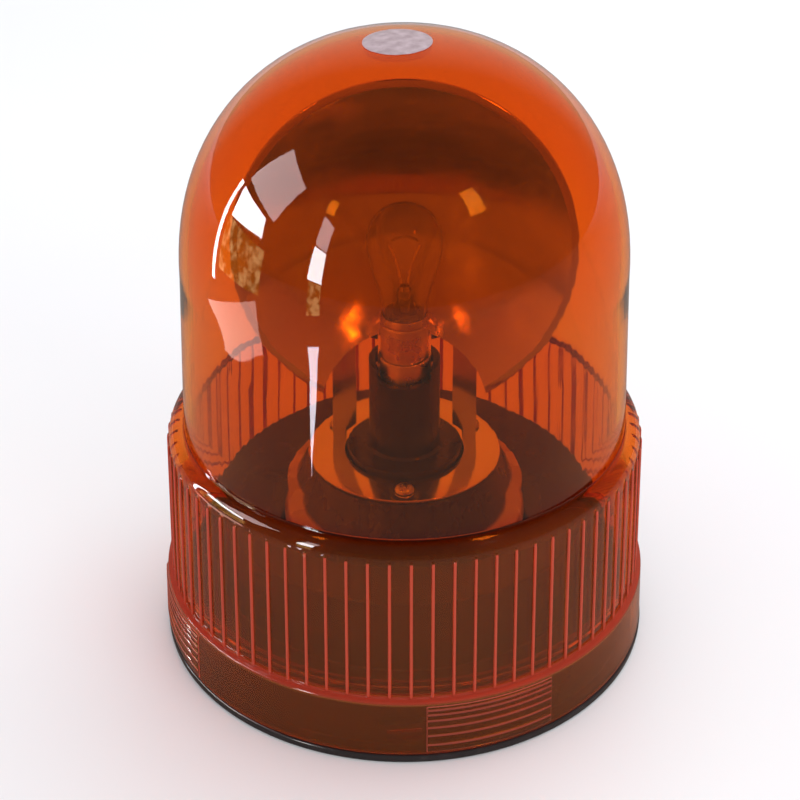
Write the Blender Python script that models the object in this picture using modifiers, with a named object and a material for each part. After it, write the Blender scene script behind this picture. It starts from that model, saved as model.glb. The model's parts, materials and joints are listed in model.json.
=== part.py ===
"""Amber rotating warning light with a twist-off lens, a mirror dish that turns round the bulb,
and the motor and gear train that drive the dish, hidden in the base.

The Z axis is the axis that the dish turns on. The origin is on the resting face, and the dish
faces -Y. Dimensions are in millimetres, and the helper functions turn them into metres.
"""

import math

import bmesh
import bpy
from mathutils import Matrix, Vector

MM = 0.001
GAP = 0.3  # clearance between pieces that rest on each other

# Driving dimensions
BASE_RADIUS = 79.6
FLANGE_HEIGHT = 2.6
DRUM_RADIUS = 73.0
SHOULDER_HEIGHT = 21.8
DECK_RADIUS = 60.8
DECK_HEIGHT = 47.0
WALL = 2.6

LENS_BOTTOM = 3.0
BAND_RADIUS = 79.4
BAND_TOP = 22.7
COLLAR_RADIUS = 76.6
COLLAR_TOP = 76.5
LENS_RADIUS = 70.0
DOME_RADIUS = 67.9
DOME_START = 128.4
LENS_TOP = 200.0
DOME_POWER = 2.19
LENS_WALL = 2.4
RIB_COUNT = 75
ROUND_STEPS = 40  # facets round the large turned pieces
PAD_AZIMUTHS = (-160.2, -70.2, 19.8, 109.8)
PAD_SWEEP = 30.0
PAD_RADIUS = 79.9
PAD_BOTTOM = 4.0
PAD_TOP = 21.6
RIB_SIZE = Vector((1.6, 1.2, 47.0))
RIB_CENTRE = Vector((75.4, 0.0, 46.8))
RIB_LEAN = 1.7  # how far a rib's top leans in
STICKER_RADIUS = 10.0
STICKER_THICKNESS = 0.2
STICKER_OFFSET = -2.0

BAYONET_AZIMUTHS = (30.0, 150.0, 270.0)
BAYONET_TURN = 24.0
BAYONET_LIFT = 3.0
RAMP_UNDERSIDE = 10.6  # at the middle of a lug
RAMP_THICKNESS = 2.2
RAMP_RADIUS = 75.3
LUG_RADIUS = 77.8
LUG_THICKNESS = 3.0
LUG_SWEEP = 8.0

TOWER_RADIUS = 11.3
TOWER_TOP = 96.5
TOWER_FRONT_TOP = 91.0
TOWER_BOTTOM = 28.6
TOWER_FLANGE_RADIUS = 18.4
TOWER_FLANGE_BOTTOM = 62.0

TURNTABLE_TOP = 62.0
TURNTABLE_RADIUS = 38.1
HUB_RADIUS = 30.8
HUB_TUBE_RADIUS = 19.4
HUB_TUBE_BOTTOM = 34.0
BEARING_RADIUS = 14.3

DISH_RADIUS = 49.85
DISH_FOCUS = 22.0
DISH_TILT = math.radians(8.0)
DISH_CENTRE = Vector((0.0, -6.4, 136.0))
DISH_WALL = 1.6
RING_THICKNESS = 1.0
ARCH_RADIUS = 25.0
ARCH_HEIGHT = 12.0

SOCKET_RADIUS = 8.35
SOCKET_WALL = 0.5
SOCKET_BOTTOM = 70.3
SOCKET_TOP = 98.0
CAP_RADIUS = 7.55
CAP_BOTTOM = 88.5
CAP_TOP = 112.3
PIN_HEIGHT = 93.5
BULB_TURN = 15.0
GLASS_RADIUS = 11.6
GLASS_CENTRE = 137.2

PLATE_BOTTOM = 26.3
PLATE_TOP = 28.3
PLATE_RADIUS = 56.0

DRIVE_TEETH = 54
IDLER_SMALL_TEETH = 12
DRIVE_MODULE = 1.0
IDLER_LARGE_TEETH = 40
PINION_TEETH = 10
MOTOR_MODULE = 0.8
PRESSURE_ANGLE = math.radians(20.0)
BACKLASH = 0.15
IDLER_AZIMUTH = 20.0
GEAR_BOTTOM = 28.9  # of the idler's large wheel and the motor's pinion
IDLER_DISTANCE = (DRIVE_TEETH + IDLER_SMALL_TEETH) * DRIVE_MODULE / 2
MOTOR_DISTANCE = (IDLER_LARGE_TEETH + PINION_TEETH) * MOTOR_MODULE / 2
MOTOR_RADIUS = 12.2
MOTOR_SCREW_SPREAD = 8.2
AXLE_RADIUS = 1.5

COLUMN_BOTTOM = 2.5
COVER_SCREW_AZIMUTHS = (90.0, 210.0, 330.0)
INSERT_AZIMUTHS = (30.0, 150.0, 270.0)
PLATE_SCREW_AZIMUTHS = (90.0, 210.0, 330.0)
REFLECTOR_SCREW_AZIMUTHS = (-90.0, 30.0, 150.0)
COVER_SCREW_CIRCLE = 63.0
INSERT_CIRCLE = 62.0
PLATE_SCREW_CIRCLE = 51.5
REFLECTOR_SCREW_CIRCLE = 25.0
REFLECTOR_SCREW_HOLE = 1.7
TOWER_SCREW_CIRCLE = 7.4

GROMMET_PLACE = (-20.0, -35.0)
TERMINAL_PLACE = (-40.0, -8.0)


# ---------------------------------------------------------------- scene and materials


def clear_scene():
    for obj in list(bpy.data.objects):
        bpy.data.objects.remove(obj, do_unlink=True)


def make_collection(name):
    collection = bpy.data.collections.new(name)
    bpy.context.scene.collection.children.link(collection)
    return collection


def make_material(name, colour, roughness, metallic=0.0, transmission=0.0):
    material = bpy.data.materials.new(name)
    material.use_nodes = True
    shader = material.node_tree.nodes["Principled BSDF"]
    shader.inputs["Base Color"].default_value = (*colour, 1.0)
    shader.inputs["Roughness"].default_value = roughness
    shader.inputs["Metallic"].default_value = metallic
    shader.inputs["Transmission Weight"].default_value = transmission
    material.diffuse_color = (*colour, 1.0)
    return material


def polar(radius, degrees, height=0.0):
    angle = math.radians(degrees)
    return Vector((radius * math.cos(angle), radius * math.sin(angle), height))


def make_object(name, mesh, material=None):
    obj = bpy.data.objects.new(name, mesh)
    PARTS.objects.link(obj)
    if material is not None:
        mesh.materials.append(material)
    return obj


def as_helper(obj):
    """Keeps a Boolean's operand out of the part."""
    PARTS.objects.unlink(obj)
    HELPERS.objects.link(obj)
    obj.hide_render = True
    obj.display_type = "WIRE"
    return obj


def place(obj, location=(0.0, 0.0, 0.0)):
    """Puts an object at a point in millimetres."""
    obj.location = Vector(location) * MM
    return obj


def make_body(name, centre, *pieces):
    """An empty on a joint's axis, which carries the named pieces of one moving body."""
    pivot = bpy.data.objects.new(name, None)
    PARTS.objects.link(pivot)
    pivot.location = Vector(centre) * MM
    pivot.empty_display_size = 20 * MM
    bpy.context.view_layer.update()
    for piece in pieces:
        obj = bpy.data.objects[piece]
        obj.parent = pivot
        obj.matrix_parent_inverse = pivot.matrix_world.inverted()


def boolean(obj, other, operation):
    modifier = obj.modifiers.new(f"{operation.title()} {other.name}", "BOOLEAN")
    modifier.operation = operation
    modifier.solver = "EXACT"
    modifier.object = other
    return obj


def cut(obj, *cutters):
    for cutter in cutters:
        boolean(obj, cutter, "DIFFERENCE")
    return obj


def join(obj, *others):
    for other in others:
        boolean(obj, other, "UNION")
    return obj


# ---------------------------------------------------------------- modelling tools


def turned(name, profile, material=None, steps=48, closed=True):
    """Turns a profile of (radius, height) points about Z. It runs down its outer side.

    A profile that starts and ends on the axis is left open with closed=False."""
    mesh = bpy.data.meshes.new(name)
    points = [(radius * MM, 0.0, height * MM) for radius, height in profile]
    edges = [(i, i + 1) for i in range(len(points) - 1)]
    if closed:
        edges.append((len(points) - 1, 0))
    mesh.from_pydata(points, edges, [])
    obj = make_object(name, mesh, material)
    screw = obj.modifiers.new("Turn", "SCREW")
    screw.axis = "Z"
    screw.angle = 2 * math.pi
    screw.steps = steps
    screw.render_steps = steps
    screw.use_merge_vertices = True
    screw.merge_threshold = 1e-5
    screw.use_smooth_shade = True
    return obj


def box(name, size, centre, material=None, turn=0.0):
    """A box of three sides, turned about Z by an angle in degrees."""
    mesh = bpy.data.meshes.new(name)
    bm = bmesh.new()
    bmesh.ops.create_cube(bm, size=1.0)
    bmesh.ops.scale(bm, vec=Vector(size) * MM, verts=bm.verts)
    bmesh.ops.rotate(bm, matrix=Matrix.Rotation(math.radians(turn), 3, "Z"), verts=bm.verts)
    bmesh.ops.translate(bm, vec=Vector(centre) * MM, verts=bm.verts)
    bm.to_mesh(mesh)
    bm.free()
    return make_object(name, mesh, material)


def rod(name, radius, bottom, top, place_xy=(0.0, 0.0), material=None, segments=12):
    """An upright cylinder."""
    mesh = bpy.data.meshes.new(name)
    bm = bmesh.new()
    middle = Matrix.Translation(Vector((*place_xy, (bottom + top) / 2)) * MM)
    bmesh.ops.create_cone(
        bm,
        cap_ends=True,
        segments=segments,
        radius1=radius * MM,
        radius2=radius * MM,
        depth=(top - bottom) * MM,
        matrix=middle,
    )
    bm.to_mesh(mesh)
    bm.free()
    mesh.shade_smooth()
    mesh.set_sharp_from_angle(angle=math.radians(40))
    return make_object(name, mesh, material)


def swept_block(name, inner, outer, bottom, top, start, sweep, material=None, rise=0.0, steps=8):
    """A block with a rectangular section that follows an arc about Z, and climbs by rise."""
    mesh = bpy.data.meshes.new(name)
    bm = bmesh.new()
    corners = ((inner, bottom), (outer, bottom), (outer, top), (inner, top))
    verts = [bm.verts.new(polar(radius, start, height) * MM) for radius, height in corners]
    face = bm.faces.new(verts)
    bmesh.ops.spin(
        bm,
        geom=[face],
        cent=(0.0, 0.0, 0.0),
        axis=(0.0, 0.0, 1.0),
        dvec=(0.0, 0.0, rise * MM / steps),
        angle=math.radians(sweep),
        steps=steps,
    )
    bmesh.ops.recalc_face_normals(bm, faces=bm.faces)
    bm.to_mesh(mesh)
    bm.free()
    return make_object(name, mesh, material)


def outline_curve(name, outlines, bottom, top, material=None):
    """A flat outline, with any further outlines as holes in it, given a thickness along Z."""
    curve = bpy.data.curves.new(name, "CURVE")
    curve.dimensions = "2D"
    curve.fill_mode = "BOTH"
    curve.extrude = (top - bottom) / 2 * MM
    for outline in outlines:
        spline = curve.splines.new("POLY")
        spline.points.add(len(outline) - 1)
        for point, (x, y) in zip(spline.points, outline):
            point.co = (x * MM, y * MM, 0.0, 1.0)
        spline.use_cyclic_u = True
    obj = bpy.data.objects.new(name, curve)
    PARTS.objects.link(obj)
    obj.location.z = (bottom + top) / 2 * MM
    if material is not None:
        curve.materials.append(material)
    return obj


def as_mesh(obj, material=None):
    """Makes a curve object a mesh that Booleans can use, with its caps welded on."""
    bpy.context.view_layer.update()
    evaluated = obj.evaluated_get(bpy.context.evaluated_depsgraph_get())
    mesh = bpy.data.meshes.new_from_object(evaluated)
    bm = bmesh.new()
    bm.from_mesh(mesh)
    bmesh.ops.remove_doubles(bm, verts=bm.verts, dist=1e-6)
    bmesh.ops.recalc_face_normals(bm, faces=bm.faces)
    bm.to_mesh(mesh)
    bm.free()
    name = obj.name
    matrix = obj.matrix_world.copy()
    bpy.data.objects.remove(obj, do_unlink=True)
    mesh.materials.clear()
    made = make_object(name, mesh, material)
    made.matrix_world = matrix
    return made


def wire(name, points, radius, material, resolution=1):
    """A wire through points, as a round POLY curve with closed ends."""
    curve = bpy.data.curves.new(name, "CURVE")
    curve.dimensions = "3D"
    curve.bevel_depth = radius * MM
    curve.bevel_resolution = resolution
    curve.use_fill_caps = True
    spline = curve.splines.new("POLY")
    spline.points.add(len(points) - 1)
    for point, place_mm in zip(spline.points, points):
        point.co = (*(Vector(place_mm) * MM), 1.0)
    obj = bpy.data.objects.new(name, curve)
    PARTS.objects.link(obj)
    curve.materials.append(material)
    return obj


def smooth_path(corners, per_span=4):
    """Points on a Catmull-Rom path through the corners."""
    ends = [corners[0], *corners, corners[-1]]
    points = []
    for i in range(1, len(ends) - 2):
        before, start, end, after = (Vector(corner) for corner in ends[i - 1 : i + 3])
        for k in range(per_span):
            t = k / per_span
            points.append(
                0.5
                * (
                    2 * start
                    + (end - before) * t
                    + (2 * before - 5 * start + 4 * end - after) * t**2
                    + (3 * start - before - 3 * end + after) * t**3
                )
            )
    points.append(Vector(corners[-1]))
    return points


def arc(centre, radii, start, end, count):
    """Points on an elliptical arc between two angles in degrees."""
    points = []
    for i in range(count):
        angle = math.radians(start + (end - start) * i / (count - 1))
        points.append(
            (centre[0] + radii[0] * math.cos(angle), centre[1] + radii[1] * math.sin(angle))
        )
    return points


def circle(radius, count, centre=(0.0, 0.0)):
    return arc(centre, (radius, radius), 0.0, 360.0, count + 1)[:-1]


# ---------------------------------------------------------------- fasteners


def screw_profile(head_bottom, head_radius, head_height, shank_radius, shank_bottom):
    """A pan head above a shank that points down."""
    head_top = head_bottom + head_height
    return [
        (0.0, head_top),
        (head_radius * 0.6, head_top),
        (head_radius, head_top - head_height * 0.45),
        (head_radius, head_bottom),
        (shank_radius, head_bottom),
        (shank_radius, shank_bottom),
        (0.0, shank_bottom),
    ]


def upward_screw_profile(head_top, head_radius, head_height, shank_radius, shank_top):
    """A pan head below a shank that points up."""
    head_bottom = head_top - head_height
    return [
        (0.0, shank_top),
        (shank_radius, shank_top),
        (shank_radius, head_top),
        (head_radius, head_top),
        (head_radius, head_bottom + head_height * 0.45),
        (head_radius * 0.6, head_bottom),
        (0.0, head_bottom),
    ]


def placed_turned(name, profile, place_xy, material, steps=16):
    obj = turned(name, profile, material, steps=steps, closed=False)
    return place(obj, (*place_xy, 0.0))


def hole(name, radius, bottom, top, place_xy=(0.0, 0.0), segments=12):
    return as_helper(rod(name, radius, bottom, top, place_xy, segments=segments))


# ---------------------------------------------------------------- base


def cover_screw_profile(grow):
    """A countersunk screw, from its point down to its flush head, grown by a gap for its hole."""
    head_bottom = 0.3 - 4 * grow
    return [
        (0.0, 14.0 + grow),
        (1.6 + grow, 14.0 + grow),
        (1.6 + grow, 2.0 + grow),
        (3.3 + grow, 0.6 + grow),
        (3.3 + grow, head_bottom),
        (0.0, head_bottom),
    ]


def make_base_housing():
    """One black moulding: flange, drum with the bayonet ramps, deck, and columns for screws."""
    deck_hole = HUB_TUBE_RADIUS + 1.0
    drum_inner = DRUM_RADIUS - 5.2
    neck_inner = DECK_RADIUS - WALL + 0.2
    profile = [
        (deck_hole, DECK_HEIGHT),
        (DECK_RADIUS - 1.6, DECK_HEIGHT),
        (DECK_RADIUS - 0.4, DECK_HEIGHT - 0.5),
        (DECK_RADIUS, DECK_HEIGHT - 1.6),
        (DECK_RADIUS + 0.4, SHOULDER_HEIGHT + 1.4),
        (DECK_RADIUS + 1.4, SHOULDER_HEIGHT),
        (DRUM_RADIUS - 0.6, SHOULDER_HEIGHT),
        (DRUM_RADIUS, SHOULDER_HEIGHT - 0.6),
        (DRUM_RADIUS, FLANGE_HEIGHT),
        (BASE_RADIUS - 0.4, FLANGE_HEIGHT),
        (BASE_RADIUS, FLANGE_HEIGHT - 0.4),
        (BASE_RADIUS, 0.5),
        (BASE_RADIUS - 0.5, 0.0),
        (70.5, 0.0),
        (70.5, 3.6),
        (drum_inner, 3.6),
        (drum_inner, SHOULDER_HEIGHT - 2.8),
        (neck_inner, SHOULDER_HEIGHT - 1.2),
        (neck_inner, DECK_HEIGHT - WALL),
        (deck_hole, DECK_HEIGHT - WALL),
    ]
    housing = turned("base_housing", profile, BLACK_GLOSS, steps=ROUND_STEPS)
    column_top = SHOULDER_HEIGHT - 0.8
    for i in range(3):
        cover_column = polar(COVER_SCREW_CIRCLE, COVER_SCREW_AZIMUTHS[i]).xy
        insert_column = polar(INSERT_CIRCLE, INSERT_AZIMUTHS[i]).xy
        plate_column = polar(PLATE_SCREW_CIRCLE, PLATE_SCREW_AZIMUTHS[i]).xy
        join(
            housing,
            as_helper(rod(f"cover_column_{i + 1}", 4.2, COLUMN_BOTTOM, column_top, cover_column)),
            as_helper(rod(f"insert_column_{i + 1}", 5.4, COLUMN_BOTTOM, column_top, insert_column)),
            as_helper(
                rod(f"plate_column_{i + 1}", 4.2, PLATE_TOP + GAP, DECK_HEIGHT - 1.0, plate_column)
            ),
            bayonet_ramp(i),
        )
        cut(
            housing,
            hole(f"insert_bore_{i + 1}", 4.2, COLUMN_BOTTOM - 3.0, 13.0, insert_column),
            hole(f"plate_bore_{i + 1}", 1.7, PLATE_TOP - 2.0, 37.0, plate_column),
            screw_hole(f"cover_bore_{i + 1}", cover_column),
        )
    return housing


def bayonet_ramp(index):
    """A helical rib that a lens lug slides under as the lens turns and lifts."""
    slope = BAYONET_LIFT / BAYONET_TURN
    closed_end = BAYONET_AZIMUTHS[index] - LUG_SWEEP / 2 - 2.0
    sweep = BAYONET_TURN + LUG_SWEEP - 6.0
    underside = RAMP_UNDERSIDE - slope * (LUG_SWEEP / 2 + 2.0)
    ramp = swept_block(
        f"bayonet_ramp_{index + 1}",
        DRUM_RADIUS - 1.0,
        RAMP_RADIUS,
        underside,
        underside + RAMP_THICKNESS,
        closed_end,
        sweep,
        rise=slope * sweep,
    )
    return as_helper(ramp)


def screw_hole(name, place_xy):
    """The hole that a cover screw needs, through the cover and into its column."""
    cutter = turned(name, cover_screw_profile(GAP), steps=12, closed=False)
    return as_helper(place(cutter, (*place_xy, 0.0)))


def make_bottom_cover():
    cover = rod("bottom_cover", 70.2, 0.0, 2.2, material=BLACK_MATT, segments=ROUND_STEPS)
    cut(cover, hole("grommet_opening", 6.0, -1.0, 4.0, GROMMET_PLACE))
    for i in range(3):
        cut(
            cover,
            screw_hole(f"cover_hole_{i + 1}", polar(COVER_SCREW_CIRCLE, COVER_SCREW_AZIMUTHS[i]).xy),
            hole(f"insert_hole_{i + 1}", 4.5, -1.0, 4.0, polar(INSERT_CIRCLE, INSERT_AZIMUTHS[i]).xy),
        )
    return cover


def make_base_fittings():
    """The seal, screws and threaded inserts of the base's underside."""
    ring("cover_gasket", 68.1, 70.1, 2.2 + GAP, 3.6 - GAP, RUBBER, 32)
    for i in range(3):
        cover_place = polar(COVER_SCREW_CIRCLE, COVER_SCREW_AZIMUTHS[i]).xy
        placed_turned(f"cover_screw_{i + 1}", cover_screw_profile(0.0), cover_place, STEEL, 8)
        insert = ring(f"mounting_insert_{i + 1}", 2.6, 3.9, 2.6, 12.6, BRASS, 12)
        place(insert, polar(INSERT_CIRCLE, INSERT_AZIMUTHS[i]))


def ring(name, inner, outer, bottom, top, material=None, steps=48):
    return turned(name, [(outer, top), (outer, bottom), (inner, bottom), (inner, top)], material, steps)


# ---------------------------------------------------------------- lens


def dome_point(radius, height, angle):
    """A point of the dome's superellipse, whose semi-axes are radius and height."""
    power = 2 / DOME_POWER
    return (radius * math.cos(angle) ** power, DOME_START + height * math.sin(angle) ** power)


def dome_points(shrink, count):
    """The dome from its rim to just short of the apex, drawn in by shrink."""
    radius = DOME_RADIUS - shrink
    height = LENS_TOP - DOME_START - shrink
    return [dome_point(radius, height, math.pi / 2 * i / count) for i in range(count)]


def make_lens():
    """A one-piece clear lens: band, ribbed collar, shoulder, cylinder and flattened dome."""
    collar_inner = COLLAR_RADIUS - LENS_WALL
    outer = [(0.0, LENS_TOP)]
    outer += list(reversed(dome_points(0.0, 7)))
    outer += [(LENS_RADIUS, COLLAR_TOP + 0.6)]
    outer += arc((70.8, 71.6), (4.2, 4.9), 90.0, 0.0, 3)
    outer += [
        (COLLAR_RADIUS, BAND_TOP + 0.2),
        (BAND_RADIUS - 0.8, BAND_TOP),
        (BAND_RADIUS, LENS_BOTTOM),
    ]
    bead = 71.4
    inner = [
        (BAND_RADIUS - LENS_WALL, LENS_BOTTOM),
        (BAND_RADIUS - LENS_WALL - 0.8, BAND_TOP - 1.8),
        (collar_inner, BAND_TOP),
        (collar_inner, 25.2),
        (bead, 25.2),
        (bead, 26.8),
        (collar_inner - 0.2, 28.0),
        (72.4, 71.6),
        (LENS_RADIUS - LENS_WALL, 75.2),
    ]
    inner += dome_points(LENS_WALL, 5)
    inner += [(0.0, LENS_TOP - LENS_WALL)]
    lens = turned("lens", outer + inner, AMBER, steps=ROUND_STEPS, closed=False)
    join(lens, lens_ribs())
    for i in range(len(BAYONET_AZIMUTHS)):
        join(lens, lens_lug(i))
    for i in range(len(PAD_AZIMUTHS)):
        join(lens, lens_pad(i))
    return lens


def lens_ribs():
    """The fine upright ribs of the collar, in one operand."""
    slant = math.atan2(RIB_LEAN, RIB_SIZE.z)
    mesh = bpy.data.meshes.new("lens_ribs")
    bm = bmesh.new()
    for i in range(RIB_COUNT):
        made = bmesh.ops.create_cube(bm, size=1.0)["verts"]
        bmesh.ops.scale(bm, vec=RIB_SIZE * MM, verts=made)
        bmesh.ops.rotate(bm, matrix=Matrix.Rotation(-slant, 3, "Y"), verts=made)
        bmesh.ops.translate(bm, vec=RIB_CENTRE * MM, verts=made)
        turn = Matrix.Rotation(2 * math.pi * (i + 0.5) / RIB_COUNT, 3, "Z")
        bmesh.ops.rotate(bm, matrix=turn, verts=made)
    bm.to_mesh(mesh)
    bm.free()
    return as_helper(make_object("lens_ribs", mesh))


def lens_lug(index):
    """A lug inside the band, which a ramp of the base holds down."""
    slope = BAYONET_LIFT / BAYONET_TURN
    start = BAYONET_AZIMUTHS[index] - LUG_SWEEP / 2
    top = RAMP_UNDERSIDE - GAP - slope * LUG_SWEEP / 2
    lug = swept_block(
        f"lens_lug_{index + 1}",
        DRUM_RADIUS + 0.7,
        LUG_RADIUS,
        top - LUG_THICKNESS,
        top,
        start,
        LUG_SWEEP,
        rise=slope * LUG_SWEEP,
        steps=3,
    )
    return as_helper(lug)


def lens_pad(index):
    """A raised thumb pad on the band, with ridges across it."""
    start = PAD_AZIMUTHS[index] - PAD_SWEEP / 2
    name = f"lens_pad_{index + 1}"
    inner = PAD_RADIUS - 1.9
    return as_helper(swept_block(name, inner, PAD_RADIUS, PAD_BOTTOM, PAD_TOP, start, PAD_SWEEP, steps=7))


def make_qc_sticker():
    """A blank round sticker on top of the dome, a little off centre."""
    radii = (0.0, STICKER_RADIUS / 2, STICKER_RADIUS)
    rise = LENS_TOP - DOME_START
    bottom = [LENS_TOP + 0.35 - rise / DOME_POWER * (r / DOME_RADIUS) ** DOME_POWER for r in radii]
    profile = [(radius, height + STICKER_THICKNESS) for radius, height in zip(radii, bottom)]
    profile += reversed(list(zip(radii, bottom)))
    sticker = turned("qc_sticker", profile, PAPER, steps=20, closed=False)
    return place(sticker, (STICKER_OFFSET, 0.0, 0.0))


# ---------------------------------------------------------------- lamp tower and bulb


def make_lamp_tower():
    """The fixed black column that stands through the turntable and holds the socket."""
    bore = SOCKET_RADIUS + 0.35
    profile = [
        (TOWER_RADIUS, TOWER_TOP),
        (TOWER_RADIUS, 66.8),
        (TOWER_RADIUS + 1.0, 65.8),
        (TOWER_FLANGE_RADIUS - 0.8, 65.5),
        (TOWER_FLANGE_RADIUS, 64.9),
        (TOWER_FLANGE_RADIUS, TOWER_FLANGE_BOTTOM),
        (TOWER_RADIUS, TOWER_FLANGE_BOTTOM),
        (TOWER_RADIUS, TOWER_BOTTOM),
        (3.5, TOWER_BOTTOM),
        (3.5, SOCKET_BOTTOM - GAP),
        (bore, SOCKET_BOTTOM - GAP),
        (bore, 89.8),
        (bore + 0.7, 89.8),
        (bore + 0.7, TOWER_TOP),
    ]
    tower = turned("lamp_tower", profile, BLACK_GLOSS, steps=24)
    front_opening = box("tower_opening", (16.8, 40.0, 12.0), (0.0, 0.0, TOWER_FRONT_TOP + 6.0))
    cut(tower, as_helper(front_opening))
    for i, azimuth in enumerate((90.0, 270.0)):
        screw_place = polar(TOWER_SCREW_CIRCLE, azimuth).xy
        cut(tower, hole(f"tower_bore_{i + 1}", 1.6, TOWER_BOTTOM - 2.0, 41.0, screw_place))
        profile = upward_screw_profile(PLATE_BOTTOM - GAP, 2.6, 2.0, 1.3, 40.0)
        placed_turned(f"tower_screw_{i + 1}", profile, screw_place, STEEL, 8)
    return tower


def make_lamp_socket():
    """A bayonet socket: a sleeve with a floor, and a slot on each side with a lock pocket."""
    inner = SOCKET_RADIUS - SOCKET_WALL
    profile = [
        (SOCKET_RADIUS, SOCKET_TOP),
        (SOCKET_RADIUS, SOCKET_BOTTOM),
        (3.4, SOCKET_BOTTOM),
        (3.4, SOCKET_BOTTOM + 0.7),
        (inner, SOCKET_BOTTOM + 0.7),
        (inner, SOCKET_TOP),
    ]
    socket = turned("lamp_socket", profile, NICKEL, steps=24)
    pocket = box("slot_pocket", (30.0, 2.6, 4.6), (0.0, 0.0, 92.5))
    entry = box("slot_entry", (30.0, 2.6, 9.0), (0.0, 0.0, 94.7), turn=BULB_TURN)
    return cut(socket, as_helper(pocket), as_helper(entry))


def make_contact():
    """The sprung centre contact under the bulb."""
    profile = [(0.0, 84.9), (2.8, 84.9), (2.8, 82.6), (7.4, 82.6), (7.4, 80.6), (0.0, 80.6)]
    turned("contact_plunger", profile, BRASS, steps=16, closed=False)
    turns = 4.5
    per_turn = 10
    bottom = SOCKET_BOTTOM + 1.7
    top = 79.8
    count = int(turns * per_turn)
    points = [
        polar(5.6, 360.0 * i / per_turn, bottom + (top - bottom) * i / count)
        for i in range(count + 1)
    ]
    wire("contact_spring", points, 0.4, STEEL, resolution=0)


def make_bulb_cap():
    profile = [
        (CAP_RADIUS, CAP_TOP),
        (CAP_RADIUS, CAP_BOTTOM + 0.6),
        (CAP_RADIUS - 0.6, CAP_BOTTOM),
        (5.0, CAP_BOTTOM),
        (5.0, CAP_BOTTOM + 0.5),
        (CAP_RADIUS - 0.45, CAP_BOTTOM + 0.9),
        (CAP_RADIUS - 0.45, CAP_TOP),
    ]
    cap = turned("bulb_cap", profile, BRASS, steps=24)
    for i, side in enumerate((1.0, -1.0)):
        pin = rod(f"cap_pin_{i + 1}", 1.0, -0.9, 0.9, segments=12)
        pin.rotation_euler = (0.0, math.pi / 2, 0.0)
        join(cap, as_helper(place(pin, (side * 8.0, 0.0, PIN_HEIGHT))))
    return cap


def make_bulb_glass():
    """A thin pear-shaped envelope, open at its neck."""
    neck = CAP_RADIUS - 0.85
    wall = 0.6
    outer = [(0.0, GLASS_CENTRE + GLASS_RADIUS)]
    outer += arc((0.0, GLASS_CENTRE), (GLASS_RADIUS, GLASS_RADIUS), 72.0, 0.0, 5)
    outer += [(10.8, 127.5), (8.7, 118.5), (neck + 0.3, CAP_TOP + 1.2), (neck, CAP_TOP), (neck, 106.0)]
    inner = [(max(radius - wall, 0.0), height) for radius, height in reversed(outer[1:])]
    inner += [(0.0, GLASS_CENTRE + GLASS_RADIUS - wall)]
    return turned("bulb_glass", outer + inner, CLEAR_GLASS, steps=20, closed=False)


def make_bulb_inside():
    """The glass stem, the two supports and the coiled filament between them."""
    stem = [(0.0, 122.0), (1.8, 121.6), (2.3, 118.0), (5.6, 109.0), (5.6, 106.6), (0.0, 106.6)]
    turned("bulb_stem", stem, CLEAR_GLASS, steps=12, closed=False)
    height = GLASS_CENTRE - 1.6
    for i, side in enumerate((-1.0, 1.0)):
        points = [(side * 1.2, 0.0, 122.3), (side * 1.4, 0.0, 127.0), (side * 4.6, 0.0, height - 0.4)]
        wire(f"filament_post_{i + 1}", points, 0.3, NICKEL)
    turns = 7
    per_turn = 7
    count = turns * per_turn
    points = []
    for i in range(count + 1):
        angle = 2 * math.pi * i / per_turn
        along = 8.4 * (i / count - 0.5)
        arch = 1.6 * (1 - (2 * i / count - 1) ** 2)
        points.append((along, 0.55 * math.cos(angle), height + 0.8 + arch + 0.55 * math.sin(angle)))
    wire("filament", points, 0.14, STEEL, resolution=0)


def make_bulb_foot():
    """The insulator that closes the cap, and the solder contact under it."""
    insulator = [(0.0, 88.2), (6.7, 88.2), (3.4, 86.0), (0.0, 86.0)]
    turned("bulb_insulator", insulator, BLACK_GLOSS, steps=16, closed=False)
    contact = [(0.0, 85.7), (2.4, 85.7), (1.6, 85.2), (0.0, 85.2)]
    turned("bulb_contact", contact, NICKEL, steps=16, closed=False)


# ---------------------------------------------------------------- turntable and reflector


def make_turntable():
    """The black rotor: a ledge, a conical hub, and a tube that carries the drive gear below."""
    bore = BEARING_RADIUS + GAP
    recess = TOWER_FLANGE_RADIUS + 0.6
    profile = [
        (recess, TURNTABLE_TOP),
        (HUB_RADIUS - 0.6, TURNTABLE_TOP),
        (HUB_RADIUS, TURNTABLE_TOP - 0.6),
        (34.7, 53.6),
        (TURNTABLE_RADIUS - 0.6, 53.2),
        (TURNTABLE_RADIUS, 52.6),
        (TURNTABLE_RADIUS, 49.8),
        (35.6, 49.8),
        (31.6, 51.2),
        (28.2, 59.4),
        (HUB_TUBE_RADIUS, 59.4),
        (HUB_TUBE_RADIUS, 35.9),
        (18.4, 35.9),
        (18.4, 34.6),
        (HUB_TUBE_RADIUS, 34.6),
        (HUB_TUBE_RADIUS, HUB_TUBE_BOTTOM),
        (bore, HUB_TUBE_BOTTOM),
        (bore, 60.3),
        (recess, 60.3),
    ]
    turntable = turned("turntable", profile, BLACK_GLOSS, steps=32)
    for i, azimuth in enumerate(REFLECTOR_SCREW_AZIMUTHS):
        screw_place = polar(REFLECTOR_SCREW_CIRCLE, azimuth).xy
        cut(turntable, hole(f"turntable_hole_{i + 1}", REFLECTOR_SCREW_HOLE, 57.0, 64.0, screw_place, 12))
    return turntable


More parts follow.
